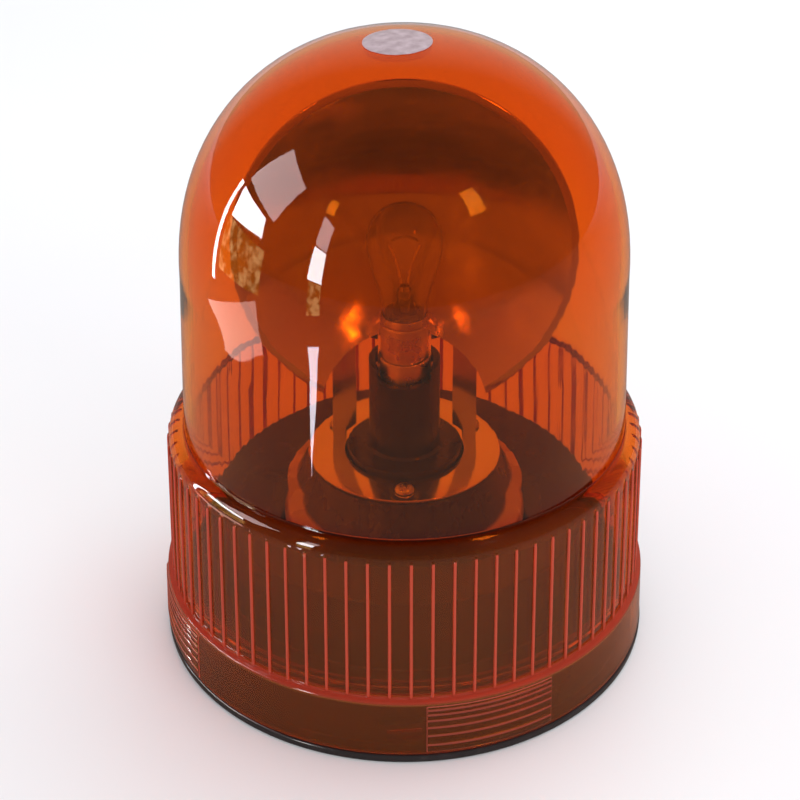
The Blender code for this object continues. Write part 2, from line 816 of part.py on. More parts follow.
def bush_profile(sleeve_low, sleeve_high, flange_low, flange_high, flange_radius):
    """A flanged bush that runs on the tower, with its flange at one end of its sleeve."""
    bore = TOWER_RADIUS + 0.4
    if flange_low >= sleeve_high:
        return [
            (flange_radius, flange_high),
            (flange_radius, flange_low),
            (BEARING_RADIUS, flange_low),
            (BEARING_RADIUS, sleeve_low),
            (bore, sleeve_low),
            (bore, flange_high),
        ]
    return [
        (BEARING_RADIUS, sleeve_high),
        (BEARING_RADIUS, flange_high),
        (flange_radius, flange_high),
        (flange_radius, flange_low),
        (bore, flange_low),
        (bore, sleeve_high),
    ]


def make_bearings():
    turned("upper_bush", bush_profile(50.0, 60.6, 60.6, 61.7, 18.2), BRASS, steps=20)
    turned("lower_bush", bush_profile(33.7, 44.0, 32.4, 33.7, 17.0), BRASS, steps=20)
    ring("bearing_seat", TOWER_RADIUS + 0.5, 15.0, PLATE_TOP + GAP, 32.1, STEEL, 20)
    swept_block("gear_clip", 18.7, 21.6, 34.8, 35.6, 15.0, 330.0, STEEL, steps=18)


def dish_frame():
    """The dish's own axes: Z along its optical axis out of its mouth, and its vertex at the origin."""
    outward = Vector((0.0, -math.cos(DISH_TILT), math.sin(DISH_TILT)))
    depth = DISH_RADIUS**2 / (4 * DISH_FOCUS)
    vertex = DISH_CENTRE - outward * depth
    across = Vector((1.0, 0.0, 0.0))
    up = outward.cross(across)
    rotation = Matrix((across, up, outward)).transposed().to_4x4()
    return Matrix.Translation(vertex * MM) @ rotation, depth


def parabola(offset, count):
    """Points of the dish from its vertex to its rim, moved back along its axis by offset."""
    points = []
    for i in range(count + 1):
        radius = DISH_RADIUS * i / count
        points.append((radius + offset * 0.8 * i / count, radius**2 / (4 * DISH_FOCUS) - offset))
    return points


def make_reflector():
    """One metallised moulding: the mirror dish, its two legs, and the ring they stand on."""
    frame, depth = dish_frame()
    front = parabola(0.0, 8)
    back = parabola(DISH_WALL, 6)
    lip = [(DISH_RADIUS + 2.3, depth), (DISH_RADIUS + 2.3, depth - 1.6)]
    dish = turned("dish_shell", front + lip + list(reversed(back)), steps=36, closed=False)
    dish.matrix_world = frame
    bulb_opening = hole("dish_bulb_opening", 9.8, 84.0, 125.0, segments=32)
    cut(dish, dish_arch(), bulb_opening)
    as_helper(dish)

    reflector = ring(
        "reflector",
        TOWER_FLANGE_RADIUS + 0.5,
        HUB_RADIUS,
        TURNTABLE_TOP + GAP,
        TURNTABLE_TOP + GAP + RING_THICKNESS,
        MIRROR,
        32,
    )
    for i, side in enumerate((1.0, -1.0)):
        join(reflector, reflector_leg(i, side))
    bowl = turned("bowl_space", [(0.0, depth)] + list(reversed(front)), steps=36, closed=False)
    bowl.matrix_world = frame
    cut(reflector, as_helper(bowl))
    join(reflector, dish)
    for i, azimuth in enumerate(REFLECTOR_SCREW_AZIMUTHS):
        screw_place = polar(REFLECTOR_SCREW_CIRCLE, azimuth).xy
        cut(reflector, hole(f"ring_hole_{i + 1}", REFLECTOR_SCREW_HOLE, 60.0, 66.0, screw_place, 12))
        screw = screw_profile(TURNTABLE_TOP + 2 * GAP + RING_THICKNESS, 3.0, 2.0, 1.4, 56.0)
        placed_turned(f"reflector_screw_{i + 1}", screw, screw_place, STEEL, 12)
    return reflector


def dish_arch():
    """The arched notch in the dish's lower edge, which lets the lamp tower through."""
    arch = rod("dish_arch", ARCH_RADIUS, -17.5, 17.5, segments=40)
    arch.scale = (1.0, ARCH_HEIGHT / ARCH_RADIUS, 1.0)
    arch.rotation_euler = (math.pi / 2, 0.0, 0.0)
    return as_helper(place(arch, (0.0, -12.5, 90.5)))


def reflector_leg(index, side):
    """A flat leg, narrower at its foot to stand clear of the tower's flange."""
    outline = [(18.7, 62.6), (23.0, 62.6), (23.0, 114.0), (15.5, 114.0), (15.5, 69.0), (18.7, 66.5)]
    outline = [(side * x, z) for x, z in outline]
    leg = outline_curve(f"reflector_leg_{index + 1}", [outline], -1.5, 1.5)
    leg.rotation_euler = (math.pi / 2, 0.0, 0.0)
    leg.location = Vector((0.0, 6.3, 0.0)) * MM
    return as_helper(as_mesh(leg))


# ---------------------------------------------------------------- gear train and motor


def involute(angle):
    return math.tan(angle) - angle


def gear_outline(teeth, module, turn, flank_points=2, addendum=0.9, dedendum=1.2):
    """The outline of a spur gear with involute flanks, thinned for backlash.

    A tooth is centred on the angle turn, in degrees."""
    pitch = teeth * module / 2
    base = pitch * math.cos(PRESSURE_ANGLE)
    root = pitch - dedendum * module
    tip = pitch + addendum * module
    half_at_base = math.pi / (2 * teeth) - BACKLASH / (2 * pitch) + involute(PRESSURE_ANGLE)
    flank = []
    for i in range(flank_points):
        radius = root + (tip - root) * i / (flank_points - 1)
        rolled = involute(math.acos(base / radius)) if radius > base else 0.0
        flank.append((radius, math.degrees(half_at_base - rolled)))
    outline = []
    for tooth in range(teeth):
        centre = turn + 360.0 * tooth / teeth
        outline += [polar(radius, centre - half).xy for radius, half in flank]
        outline += [polar(radius, centre + half).xy for radius, half in reversed(flank)]
    return outline


def make_drive_gear():
    outline = gear_outline(DRIVE_TEETH, DRIVE_MODULE, IDLER_AZIMUTH)
    return outline_curve("drive_gear", [outline, circle(HUB_TUBE_RADIUS + 2 * GAP, 24)], 36.2, 41.2, NYLON)


def make_idler_gear():
    """A compound gear: the motor's pinion drives its large wheel, its small one drives the rotor."""
    large = gear_outline(IDLER_LARGE_TEETH, MOTOR_MODULE, IDLER_AZIMUTH + 90.0)
    facing_rotor = IDLER_AZIMUTH + 180.0 + 180.0 / IDLER_SMALL_TEETH
    small = gear_outline(IDLER_SMALL_TEETH, DRIVE_MODULE, facing_rotor, flank_points=3)
    wheel = as_mesh(outline_curve("idler_gear", [large], GEAR_BOTTOM, GEAR_BOTTOM + 3.0), NYLON)
    pinion = as_helper(as_mesh(outline_curve("idler_pinion", [small], 31.4, 41.6)))
    centre = polar(IDLER_DISTANCE, IDLER_AZIMUTH)
    for obj in (wheel, pinion):
        obj.location += centre * MM
    join(wheel, pinion)
    cut(wheel, hole("idler_bore", AXLE_RADIUS + GAP, 26.0, 44.0, centre.xy, 16))
    rod("idler_axle", AXLE_RADIUS, 24.6, 42.6, centre.xy, STEEL, segments=16)
    return wheel


def make_gear_plate():
    """The steel plate that carries the motor, the idler's axle and the lamp tower."""
    plate = rod("gear_plate", PLATE_RADIUS, PLATE_BOTTOM, PLATE_TOP, material=ZINC, segments=40)
    motor = motor_centre()
    holes = [(4.4, (0.0, 0.0)), (AXLE_RADIUS + GAP, polar(IDLER_DISTANCE, IDLER_AZIMUTH).xy)]
    holes += [(4.0, motor)]
    holes += [(1.3, place_xy) for place_xy in motor_screw_places()]
    holes += [(1.6, polar(TOWER_SCREW_CIRCLE, azimuth).xy) for azimuth in (90.0, 270.0)]
    holes += [(1.7, polar(PLATE_SCREW_CIRCLE, azimuth).xy) for azimuth in PLATE_SCREW_AZIMUTHS]
    for i, (radius, place_xy) in enumerate(holes):
        cut(plate, hole(f"plate_hole_{i + 1}", radius, PLATE_BOTTOM - 1, PLATE_TOP + 1, place_xy, 16))
    for i, azimuth in enumerate(PLATE_SCREW_AZIMUTHS):
        profile = upward_screw_profile(PLATE_BOTTOM - GAP, 2.8, 2.0, 1.4, 36.0)
        screw_place = polar(PLATE_SCREW_CIRCLE, azimuth).xy
        placed_turned(f"plate_screw_{i + 1}", profile, screw_place, STEEL, 8)
    return plate


def motor_centre():
    """The motor's axis: one centre distance from the idler's, square to the idler's radius."""
    idler = polar(IDLER_DISTANCE, IDLER_AZIMUTH)
    return (idler + polar(MOTOR_DISTANCE, IDLER_AZIMUTH + 90.0)).xy


def motor_screw_places():
    """The two screws stand either side of the motor's axis, clear of the idler's wheel."""
    spread = polar(MOTOR_SCREW_SPREAD, IDLER_AZIMUTH).xy
    return [motor_centre() + spread, motor_centre() - spread]


def make_motor():
    """A flat-can motor that hangs under the plate, with its pinion above it."""
    centre = (*motor_centre(), 0.0)
    can = [
        (3.2, 26.0),
        (MOTOR_RADIUS - 0.6, 26.0),
        (MOTOR_RADIUS, 25.4),
        (MOTOR_RADIUS, 6.0),
        (MOTOR_RADIUS - 0.8, 6.0),
        (MOTOR_RADIUS - 0.8, 25.1),
        (3.2, 25.1),
    ]
    motor_can = place(turned("motor_can", can, ZINC, steps=18), centre)
    for i, screw_place in enumerate(motor_screw_places()):
        cut(motor_can, hole(f"can_hole_{i + 1}", 1.3, 24.0, 27.0, screw_place, 12))
        profile = screw_profile(PLATE_TOP + GAP, 2.0, 1.3, 1.0, 24.7)
        placed_turned(f"motor_screw_{i + 1}", profile, screw_place, STEEL, 8)
    end_cap = [(0.0, 7.4), (2.4, 7.4), (2.4, 5.7), (MOTOR_RADIUS, 5.7), (MOTOR_RADIUS, 4.2), (0.0, 4.2)]
    place(turned("motor_end_cap", end_cap, WHITE_NYLON, steps=18, closed=False), centre)
    place(ring("motor_armature", 1.3, 10.4, 9.6, 23.6, COPPER, 18), centre)
    rod("motor_shaft", 1.0, 7.8, 34.0, centre[:2], STEEL, segments=12)
    facing_idler = IDLER_AZIMUTH + 270.0 + 180.0 / PINION_TEETH
    outline = gear_outline(PINION_TEETH, MOTOR_MODULE, facing_idler, flank_points=3)
    pinion = outline_curve("motor_pinion", [outline, circle(1.3, 12)], GEAR_BOTTOM, GEAR_BOTTOM + 4.5, BRASS)
    pinion.location += Vector(centre) * MM


# ---------------------------------------------------------------- wiring


def make_wiring():
    x, y = GROMMET_PLACE
    grommet = [
        (5.7, 8.0),
        (5.7, 4.4),
        (8.4, 4.4),
        (8.4, 2.5),
        (5.7, 2.5),
        (5.7, 0.3),
        (3.5, 0.3),
        (3.5, 8.0),
    ]
    place(turned("cable_grommet", grommet, RUBBER, steps=16), (x, y, 0.0))
    block_x, block_y = TERMINAL_PLACE
    box("terminal_block", (12.0, 20.0, 9.0), (block_x, block_y, 7.0), WHITE_NYLON)
    entry = block_x + 6.8
    cable = smooth_path([(x, y, 0.6), (x, y, 9.0), (x - 2, y + 8, 15.5), (x - 6, y + 15, 14.8)])
    wire("supply_cable", cable, 2.6, RUBBER)
    lamp = smooth_path(
        [(entry, block_y - 3, 9.0), (-24, -9, 13.0), (-6, -2, 15.0), (0, 0, 24.0), (0, 0, 69.0)]
    )
    wire("lamp_lead", lamp, 1.1, RED_WIRE)
    motor = motor_centre()
    for name, material, side, height in (
        ("motor_lead_red", RED_WIRE, 1.0, 9.0),
        ("motor_lead_black", RUBBER, -1.0, 12.5),
    ):
        start = (entry, block_y + 4.5 + 2 * side, 8.0)
        end = (motor.x - MOTOR_RADIUS - 1.2, motor.y + 3.0 * side, height)
        middle = (-12.0, 14.0 + 4.0 * side, 7.5)
        wire(name, smooth_path([start, middle, end]), 0.9, material)


# ---------------------------------------------------------------- assembly


clear_scene()
PARTS = make_collection("rotating_warning_light")
HELPERS = make_collection("helpers")

BLACK_GLOSS = make_material("black_gloss_plastic", (0.012, 0.011, 0.011), 0.18)
BLACK_MATT = make_material("black_matt_plastic", (0.02, 0.02, 0.02), 0.55)
AMBER = make_material("amber_plastic", (0.9, 0.16, 0.01), 0.05, transmission=1.0)
MIRROR = make_material("metallised_plastic", (0.9, 0.9, 0.9), 0.04, metallic=1.0)
NICKEL = make_material("nickel_plate", (0.72, 0.68, 0.6), 0.25, metallic=1.0)
STEEL = make_material("zinc_plated_steel", (0.6, 0.6, 0.62), 0.35, metallic=1.0)
ZINC = make_material("galvanised_sheet", (0.55, 0.56, 0.57), 0.45, metallic=1.0)
BRASS = make_material("brass", (0.72, 0.5, 0.2), 0.3, metallic=1.0)
COPPER = make_material("copper_winding", (0.72, 0.33, 0.16), 0.4, metallic=1.0)
CLEAR_GLASS = make_material("clear_glass", (0.98, 0.98, 0.98), 0.02, transmission=1.0)
RUBBER = make_material("black_rubber", (0.02, 0.02, 0.02), 0.8)
NYLON = make_material("natural_nylon", (0.85, 0.83, 0.75), 0.45)
WHITE_NYLON = make_material("white_nylon", (0.85, 0.85, 0.85), 0.5)
RED_WIRE = make_material("red_insulation", (0.6, 0.02, 0.02), 0.5)
PAPER = make_material("white_paper", (0.88, 0.86, 0.88), 0.7)

make_base_housing()
make_bottom_cover()
make_base_fittings()
make_gear_plate()
make_lamp_tower()
make_lamp_socket()
make_wiring()

make_bearings()
make_turntable()
make_drive_gear()
make_reflector()
make_idler_gear()
make_motor()

make_contact()
make_bulb_cap()
make_bulb_foot()
make_bulb_glass()
make_bulb_inside()

make_lens()
make_qc_sticker()
ring("seal_ring", 70.4, 73.6, SHOULDER_HEIGHT + GAP, 25.2 - GAP, RUBBER, ROUND_STEPS)

make_body(
    "rotor",
    (0.0, 0.0, 0.0),
    "turntable",
    "drive_gear",
    "gear_clip",
    "upper_bush",
    "lower_bush",
    "reflector",
    *(f"reflector_screw_{i + 1}" for i in range(3)),
)
make_body("idler", polar(IDLER_DISTANCE, IDLER_AZIMUTH), "idler_gear")
make_body("motor_rotor", motor_centre().to_3d(), "motor_shaft", "motor_armature", "motor_pinion")
make_body("lens_cover", (0.0, 0.0, 0.0), "lens", "qc_sticker")
make_body("lens_seal", (0.0, 0.0, 0.0), "seal_ring")
make_body("centre_contact", (0.0, 0.0, 0.0), "contact_plunger")
make_body(
    "bulb",
    (0.0, 0.0, 0.0),
    "bulb_glass",
    "bulb_cap",
    "bulb_insulator",
    "bulb_contact",
    "bulb_stem",
    "filament_post_1",
    "filament_post_2",
    "filament",
)
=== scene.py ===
"""Looks of the amber rotating warning light: fine pieces, materials, stage, lights and camera.

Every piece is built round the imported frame. Profiles are (radius, height) points in millimetres,
measured from the frame's nodes, and the helpers turn them into metres.
"""

import json
import math
import random

import bmesh
import bpy
from mathutils import Matrix, Vector


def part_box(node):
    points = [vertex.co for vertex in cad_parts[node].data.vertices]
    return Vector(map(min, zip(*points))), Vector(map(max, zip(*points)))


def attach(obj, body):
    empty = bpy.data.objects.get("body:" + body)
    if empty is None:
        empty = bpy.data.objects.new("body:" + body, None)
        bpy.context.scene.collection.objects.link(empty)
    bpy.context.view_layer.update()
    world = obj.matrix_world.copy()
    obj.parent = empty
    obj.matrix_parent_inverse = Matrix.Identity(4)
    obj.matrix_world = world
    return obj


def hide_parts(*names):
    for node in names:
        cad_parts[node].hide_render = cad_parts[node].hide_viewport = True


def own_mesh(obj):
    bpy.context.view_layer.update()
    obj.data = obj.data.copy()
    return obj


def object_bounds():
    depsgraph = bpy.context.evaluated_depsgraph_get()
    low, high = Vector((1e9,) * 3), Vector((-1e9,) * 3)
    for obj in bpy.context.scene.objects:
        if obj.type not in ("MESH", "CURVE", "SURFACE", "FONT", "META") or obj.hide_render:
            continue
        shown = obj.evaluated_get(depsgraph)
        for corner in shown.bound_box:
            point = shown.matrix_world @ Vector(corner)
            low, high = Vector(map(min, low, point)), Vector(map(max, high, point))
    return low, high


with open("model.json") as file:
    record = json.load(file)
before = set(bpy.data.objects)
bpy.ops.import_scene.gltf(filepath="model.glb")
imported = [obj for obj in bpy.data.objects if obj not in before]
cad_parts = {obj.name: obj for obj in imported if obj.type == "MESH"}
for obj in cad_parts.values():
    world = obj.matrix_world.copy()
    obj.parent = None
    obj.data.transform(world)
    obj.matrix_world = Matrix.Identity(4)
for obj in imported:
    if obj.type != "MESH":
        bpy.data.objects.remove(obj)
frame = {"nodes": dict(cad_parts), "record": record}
CAD_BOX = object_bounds()
MM = 0.001


# -------------------- places read from the frame


def low(node, axis=2):
    """A node's lowest coordinate on an axis, in millimetres."""
    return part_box(node)[0][axis] / MM


def high(node, axis=2):
    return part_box(node)[1][axis] / MM


def radius_of(node):
    """The radius of a node that is centred on the Z axis."""
    return high(node, 0)


LENS_BOTTOM = low("lens")
LENS_TOP = high("lens")
LENS_WALL = 2.4
BAND_RADIUS = radius_of("lens") - 0.25
BAND_TOP = 22.7
BAND_TAPER = 0.8
COLLAR_RADIUS = BAND_RADIUS - 2.8
COLLAR_TAPER = 1.6
SHOULDER_START = 71.6
SHOULDER_TOP = 76.5
CYLINDER_RADIUS = BAND_RADIUS - 9.4
DOME_RADIUS = BAND_RADIUS - 11.5
DOME_START = 128.4
DOME_POWER = 2.19
RIB_COUNT = 75
RIB_HEIGHT = 0.65
RIB_PITCH = 360.0 / RIB_COUNT
RIB_TOP = 0.045 * RIB_PITCH
RIB_FOOT = 0.095 * RIB_PITCH
RIB_START = -88.5
PAD_AZIMUTHS = (-160.2, -70.2, 19.8, 109.8)
PAD_SWEEP = 30.0
PAD_EDGE = 0.25
PAD_SLOPE = 0.4
PAD_HEIGHT = 0.28
PAD_TOP = BAND_TOP - 1.2
PAD_BOTTOM = LENS_BOTTOM + 0.9
RIDGE_HEIGHT = 0.30
RIDGE_TOP = 0.25
RIDGE_FOOT = 0.6
RIDGE_PLACES = [PAD_TOP - 1.3 - 1.55 * i - 0.22 * i * i for i in range(6)]

BAYONET_AZIMUTHS = (30.0, 150.0, 270.0)
BAYONET_TURN = 24.0
BAYONET_SLOPE = 3.0 / BAYONET_TURN
LUG_SWEEP = 8.0
LUG_TOP = 10.3
LUG_HEIGHT = 3.0
LUG_OUTER = 77.8
RAMP_BOTTOM = 10.6
RAMP_HEIGHT = 2.2
RAMP_GAP = 2.0
DRUM_RADIUS = 73.0

DECK_HEIGHT = high("base_housing")
BASE_RADIUS = radius_of("base_housing")
TURNTABLE_TOP = high("turntable")
TURNTABLE_RADIUS = radius_of("turntable")
LEDGE_START = 34.6
HUB_RADIUS = 30.8
SCREW_AZIMUTHS = (-90.0, 30.0, 150.0)
SCREW_CIRCLE = 25.0
SCREW_BORE = 1.7

RING_BOTTOM = low("reflector")
DISH_LIP = 2.3
DISH_WALL = 1.6
DISH_RADIUS = high("reflector", 0) - DISH_LIP
DISH_FOCUS = 22.0
DISH_DEPTH = DISH_RADIUS**2 / (4 * DISH_FOCUS)
DISH_TILT = math.radians(8.0)
DISH_CENTRE = Vector((0.0, -6.4, 136.0))

TOWER_TOP = high("lamp_tower")
TOWER_BOTTOM = low("lamp_tower")
SOCKET_TOP = high("lamp_socket")
SOCKET_BOTTOM = low("lamp_socket")
CAP_TOP = high("bulb_cap")
CAP_BOTTOM = low("bulb_cap")
BULB_TOP = high("bulb_glass")
GLASS_RADIUS = radius_of("bulb_glass")


# -------------------- mesh helpers


def polar(radius, degrees, height=0.0):
    angle = math.radians(degrees)
    return Vector((radius * math.cos(angle), radius * math.sin(angle), height))


def shifted(x, y, z):
    """A move in millimetres, as a matrix."""
    return Matrix.Translation(Vector((x, y, z)) * MM)


def new_object(name, data):
    obj = bpy.data.objects.new(name, data)
    bpy.context.scene.collection.objects.link(obj)
    return obj


def finished(name, mesh, material):
    """A new object with one finish all over."""
    mesh.name = name
    mesh.materials.clear()
    mesh.materials.append(material)
    return new_object(name, mesh)


def shade(mesh, smooth_angle):
    mesh.shade_smooth()
    mesh.set_sharp_from_angle(angle=math.radians(smooth_angle))
    return mesh


def finish_mesh(bm, smooth_angle=35.0):
    bmesh.ops.recalc_face_normals(bm, faces=bm.faces)
    mesh = bpy.data.meshes.new("shape")
    bm.to_mesh(mesh)
    bm.free()
    return shade(mesh, smooth_angle)


def evaluated_mesh(obj):
    """The mesh of an object with its modifiers or its curve worked out."""
    bpy.context.view_layer.update()
    evaluated = obj.evaluated_get(bpy.context.evaluated_depsgraph_get())
    return bpy.data.meshes.new_from_object(evaluated)


def placed(mesh, matrix):
    mesh.transform(matrix)
    return mesh


def arc(centre, radii, start, end, count):
    """Points on an elliptical arc between two angles in degrees."""
    points = []
    for i in range(count):
        angle = math.radians(start + (end - start) * i / (count - 1))
        x = centre[0] + radii[0] * math.cos(angle)
        y = centre[1] + radii[1] * math.sin(angle)
        points.append((x, y))
    return points


def line(start, end, count):
    """Points from start up to but not including end."""
    return [
        (start[0] + (end[0] - start[0]) * i / count, start[1] + (end[1] - start[1]) * i / count)
        for i in range(count)
    ]


def rounded(points, radius, count, closed=True):
    """The outline with an arc in place of each corner, no wider than its neighbours allow."""
    nearly_straight = math.radians(82)
    made = []
    last = len(points) - 1
    for i, point in enumerate(points):
        here = Vector(point)
        if not closed and i in (0, last):
            made.append(here)
            continue
        back = Vector(points[i - 1]) - here
        ahead = Vector(points[(i + 1) % len(points)]) - here
        half = back.angle(ahead) / 2
        if half > nearly_straight:
            made.append(here)
            continue
        reach = min(radius / math.tan(half), 0.45 * min(back.length, ahead.length))
        back.normalize()
        ahead.normalize()
        centre = here + (back + ahead).normalized() * (reach / math.cos(half))
        start = here + back * reach - centre
        end = here + ahead * reach - centre
        for k in range(count + 1):
            spoke = start.lerp(end, k / count)
            made.append(centre + spoke.normalized() * start.length)
    return [tuple(point) for point in made]


def spin(bm, geom, degrees, steps, rise=0.0, merge=False):
    """Turns geometry about Z, climbing by rise millimetres in all."""
    bmesh.ops.spin(
        bm,
        geom=geom,
        cent=(0.0, 0.0, 0.0),
        axis=(0.0, 0.0, 1.0),
        dvec=(0.0, 0.0, rise * MM / steps),
        angle=math.radians(degrees),
        steps=steps,
        use_merge=merge,
    )


def skin(bm, rings):
    """Faces between each closed ring of vertices and the next."""
    for inner, outer in zip(rings, rings[1:]):
        for i in range(len(inner)):
            j = (i + 1) % len(inner)
            bm.faces.new((inner[i], inner[j], outer[j], outer[i]))


def fan(bm, ring, apex):
    for i in range(len(ring)):
        bm.faces.new((ring[i], ring[(i + 1) % len(ring)], apex))


def lathe(profile, steps, closed=True):
    """A turned mesh. A profile that starts and ends on the axis is open, the others are closed."""
    bm = bmesh.new()
    verts = [bm.verts.new((radius * MM, 0.0, height * MM)) for radius, height in profile]
    edges = [bm.edges.new(pair) for pair in zip(verts, verts[1:])]
    if closed:
        edges.append(bm.edges.new((verts[-1], verts[0])))
    spin(bm, verts + edges, 360.0, steps, merge=True)
    bmesh.ops.remove_doubles(bm, verts=bm.verts, dist=1e-7)
    return finish_mesh(bm)


def block_mesh(size, centre, turn=0.0, bevel=0.0):
    bm = bmesh.new()
    bmesh.ops.create_cube(bm, size=1.0)
    bmesh.ops.scale(bm, vec=Vector(size) * MM, verts=bm.verts)
    if bevel:
        width = bevel * MM
        bmesh.ops.bevel(bm, geom=bm.edges[:], offset=width, segments=3, profile=0.5, affect="EDGES")
    bmesh.ops.rotate(bm, matrix=Matrix.Rotation(math.radians(turn), 3, "Z"), verts=bm.verts)
    bmesh.ops.translate(bm, vec=Vector(centre) * MM, verts=bm.verts)
    return finish_mesh(bm)


def rod_mesh(radius, bottom, top, place_xy=(0.0, 0.0), segments=32):
    bm = bmesh.new()
    bmesh.ops.create_cone(
        bm,
        cap_ends=True,
        segments=segments,
        radius1=radius * MM,
        radius2=radius * MM,
        depth=(top - bottom) * MM,
        matrix=shifted(*place_xy, (bottom + top) / 2),
    )
    return finish_mesh(bm)


def swept_block(radii, heights, start, sweep, rise, steps=16):
    """A block between two radii and two heights that follows an arc about Z and climbs by rise."""
    inner, outer = radii
    bottom, top = heights
    corners = ((inner, bottom), (outer, bottom), (outer, top), (inner, top))
    bm = bmesh.new()
    verts = [bm.verts.new(polar(radius, start, height) * MM) for radius, height in corners]
    spin(bm, [bm.faces.new(verts)], sweep, steps, rise)
    return finish_mesh(bm)


def join(mesh, place=None):
    """A step for apply_booleans that adds a mesh at a place."""
    return ("UNION", mesh, place)


def cut(mesh, place=None):
    return ("DIFFERENCE", mesh, place)


def apply_booleans(mesh, steps, smooth_angle=35.0):
    """Runs join and cut steps on a mesh and returns the result."""
    obj = new_object("joined", mesh)
    operands = []
    for operation, other, place in steps:
        operand = new_object("operand", other)
        operand.matrix_world = place or Matrix()
        modifier = obj.modifiers.new("boolean", "BOOLEAN")
        modifier.operation = operation
        modifier.solver = "EXACT"
        modifier.object = operand
        operands.append(operand)
    made = evaluated_mesh(obj)
    for item in (obj, *operands):
        bpy.data.objects.remove(item, do_unlink=True)
    return shade(made, smooth_angle)


def wire_mesh(points, radius):
    """A round wire along points, with flat ends."""
    curve = bpy.data.curves.new("wire", "CURVE")
    curve.dimensions = "3D"
    curve.bevel_depth = radius * MM
    curve.bevel_resolution = 2
    curve.use_fill_caps = True
    spline = curve.splines.new("POLY")
    spline.points.add(len(points) - 1)
    for point, place in zip(spline.points, points):
        point.co = (*(Vector(place) * MM), 1.0)
    obj = new_object("wire", curve)
    mesh = evaluated_mesh(obj)
    bpy.data.objects.remove(obj, do_unlink=True)
    bm = bmesh.new()
    bm.from_mesh(mesh)
    bmesh.ops.remove_doubles(bm, verts=bm.verts, dist=1e-7)
    return finish_mesh(bm)


# -------------------- node helpers


def feed(socket, value):
    """Links a socket to another node's output, or sets it to a plain value."""
    if isinstance(value, bpy.types.NodeSocket):
        socket.id_data.links.new(value, socket)
    else:
        socket.default_value = value


def make_node(tree, kind, inputs=None, **settings):
    """A shader node of a kind, with its settings made before its inputs are fed."""
    node = tree.nodes.new("ShaderNode" + kind)
    for name, value in settings.items():
        setattr(node, name, value)
    for key, value in (inputs or {}).items():
        feed(node.inputs[key], value)
    return node


def map_range(tree, source, first, last, start=0.0, end=1.0):
    """Goes from first to last as source goes from start to end, and stays level beyond."""
    inputs = {"Value": source, "From Min": start, "From Max": end}
    inputs |= {"To Min": first, "To Max": last}
    return make_node(tree, "MapRange", inputs).outputs["Result"]


def mix_shaders(tree, share, first, second):
    inputs = {0: share, 1: first.outputs[0], 2: second.outputs[0]}
    return make_node(tree, "MixShader", inputs).outputs["Shader"]


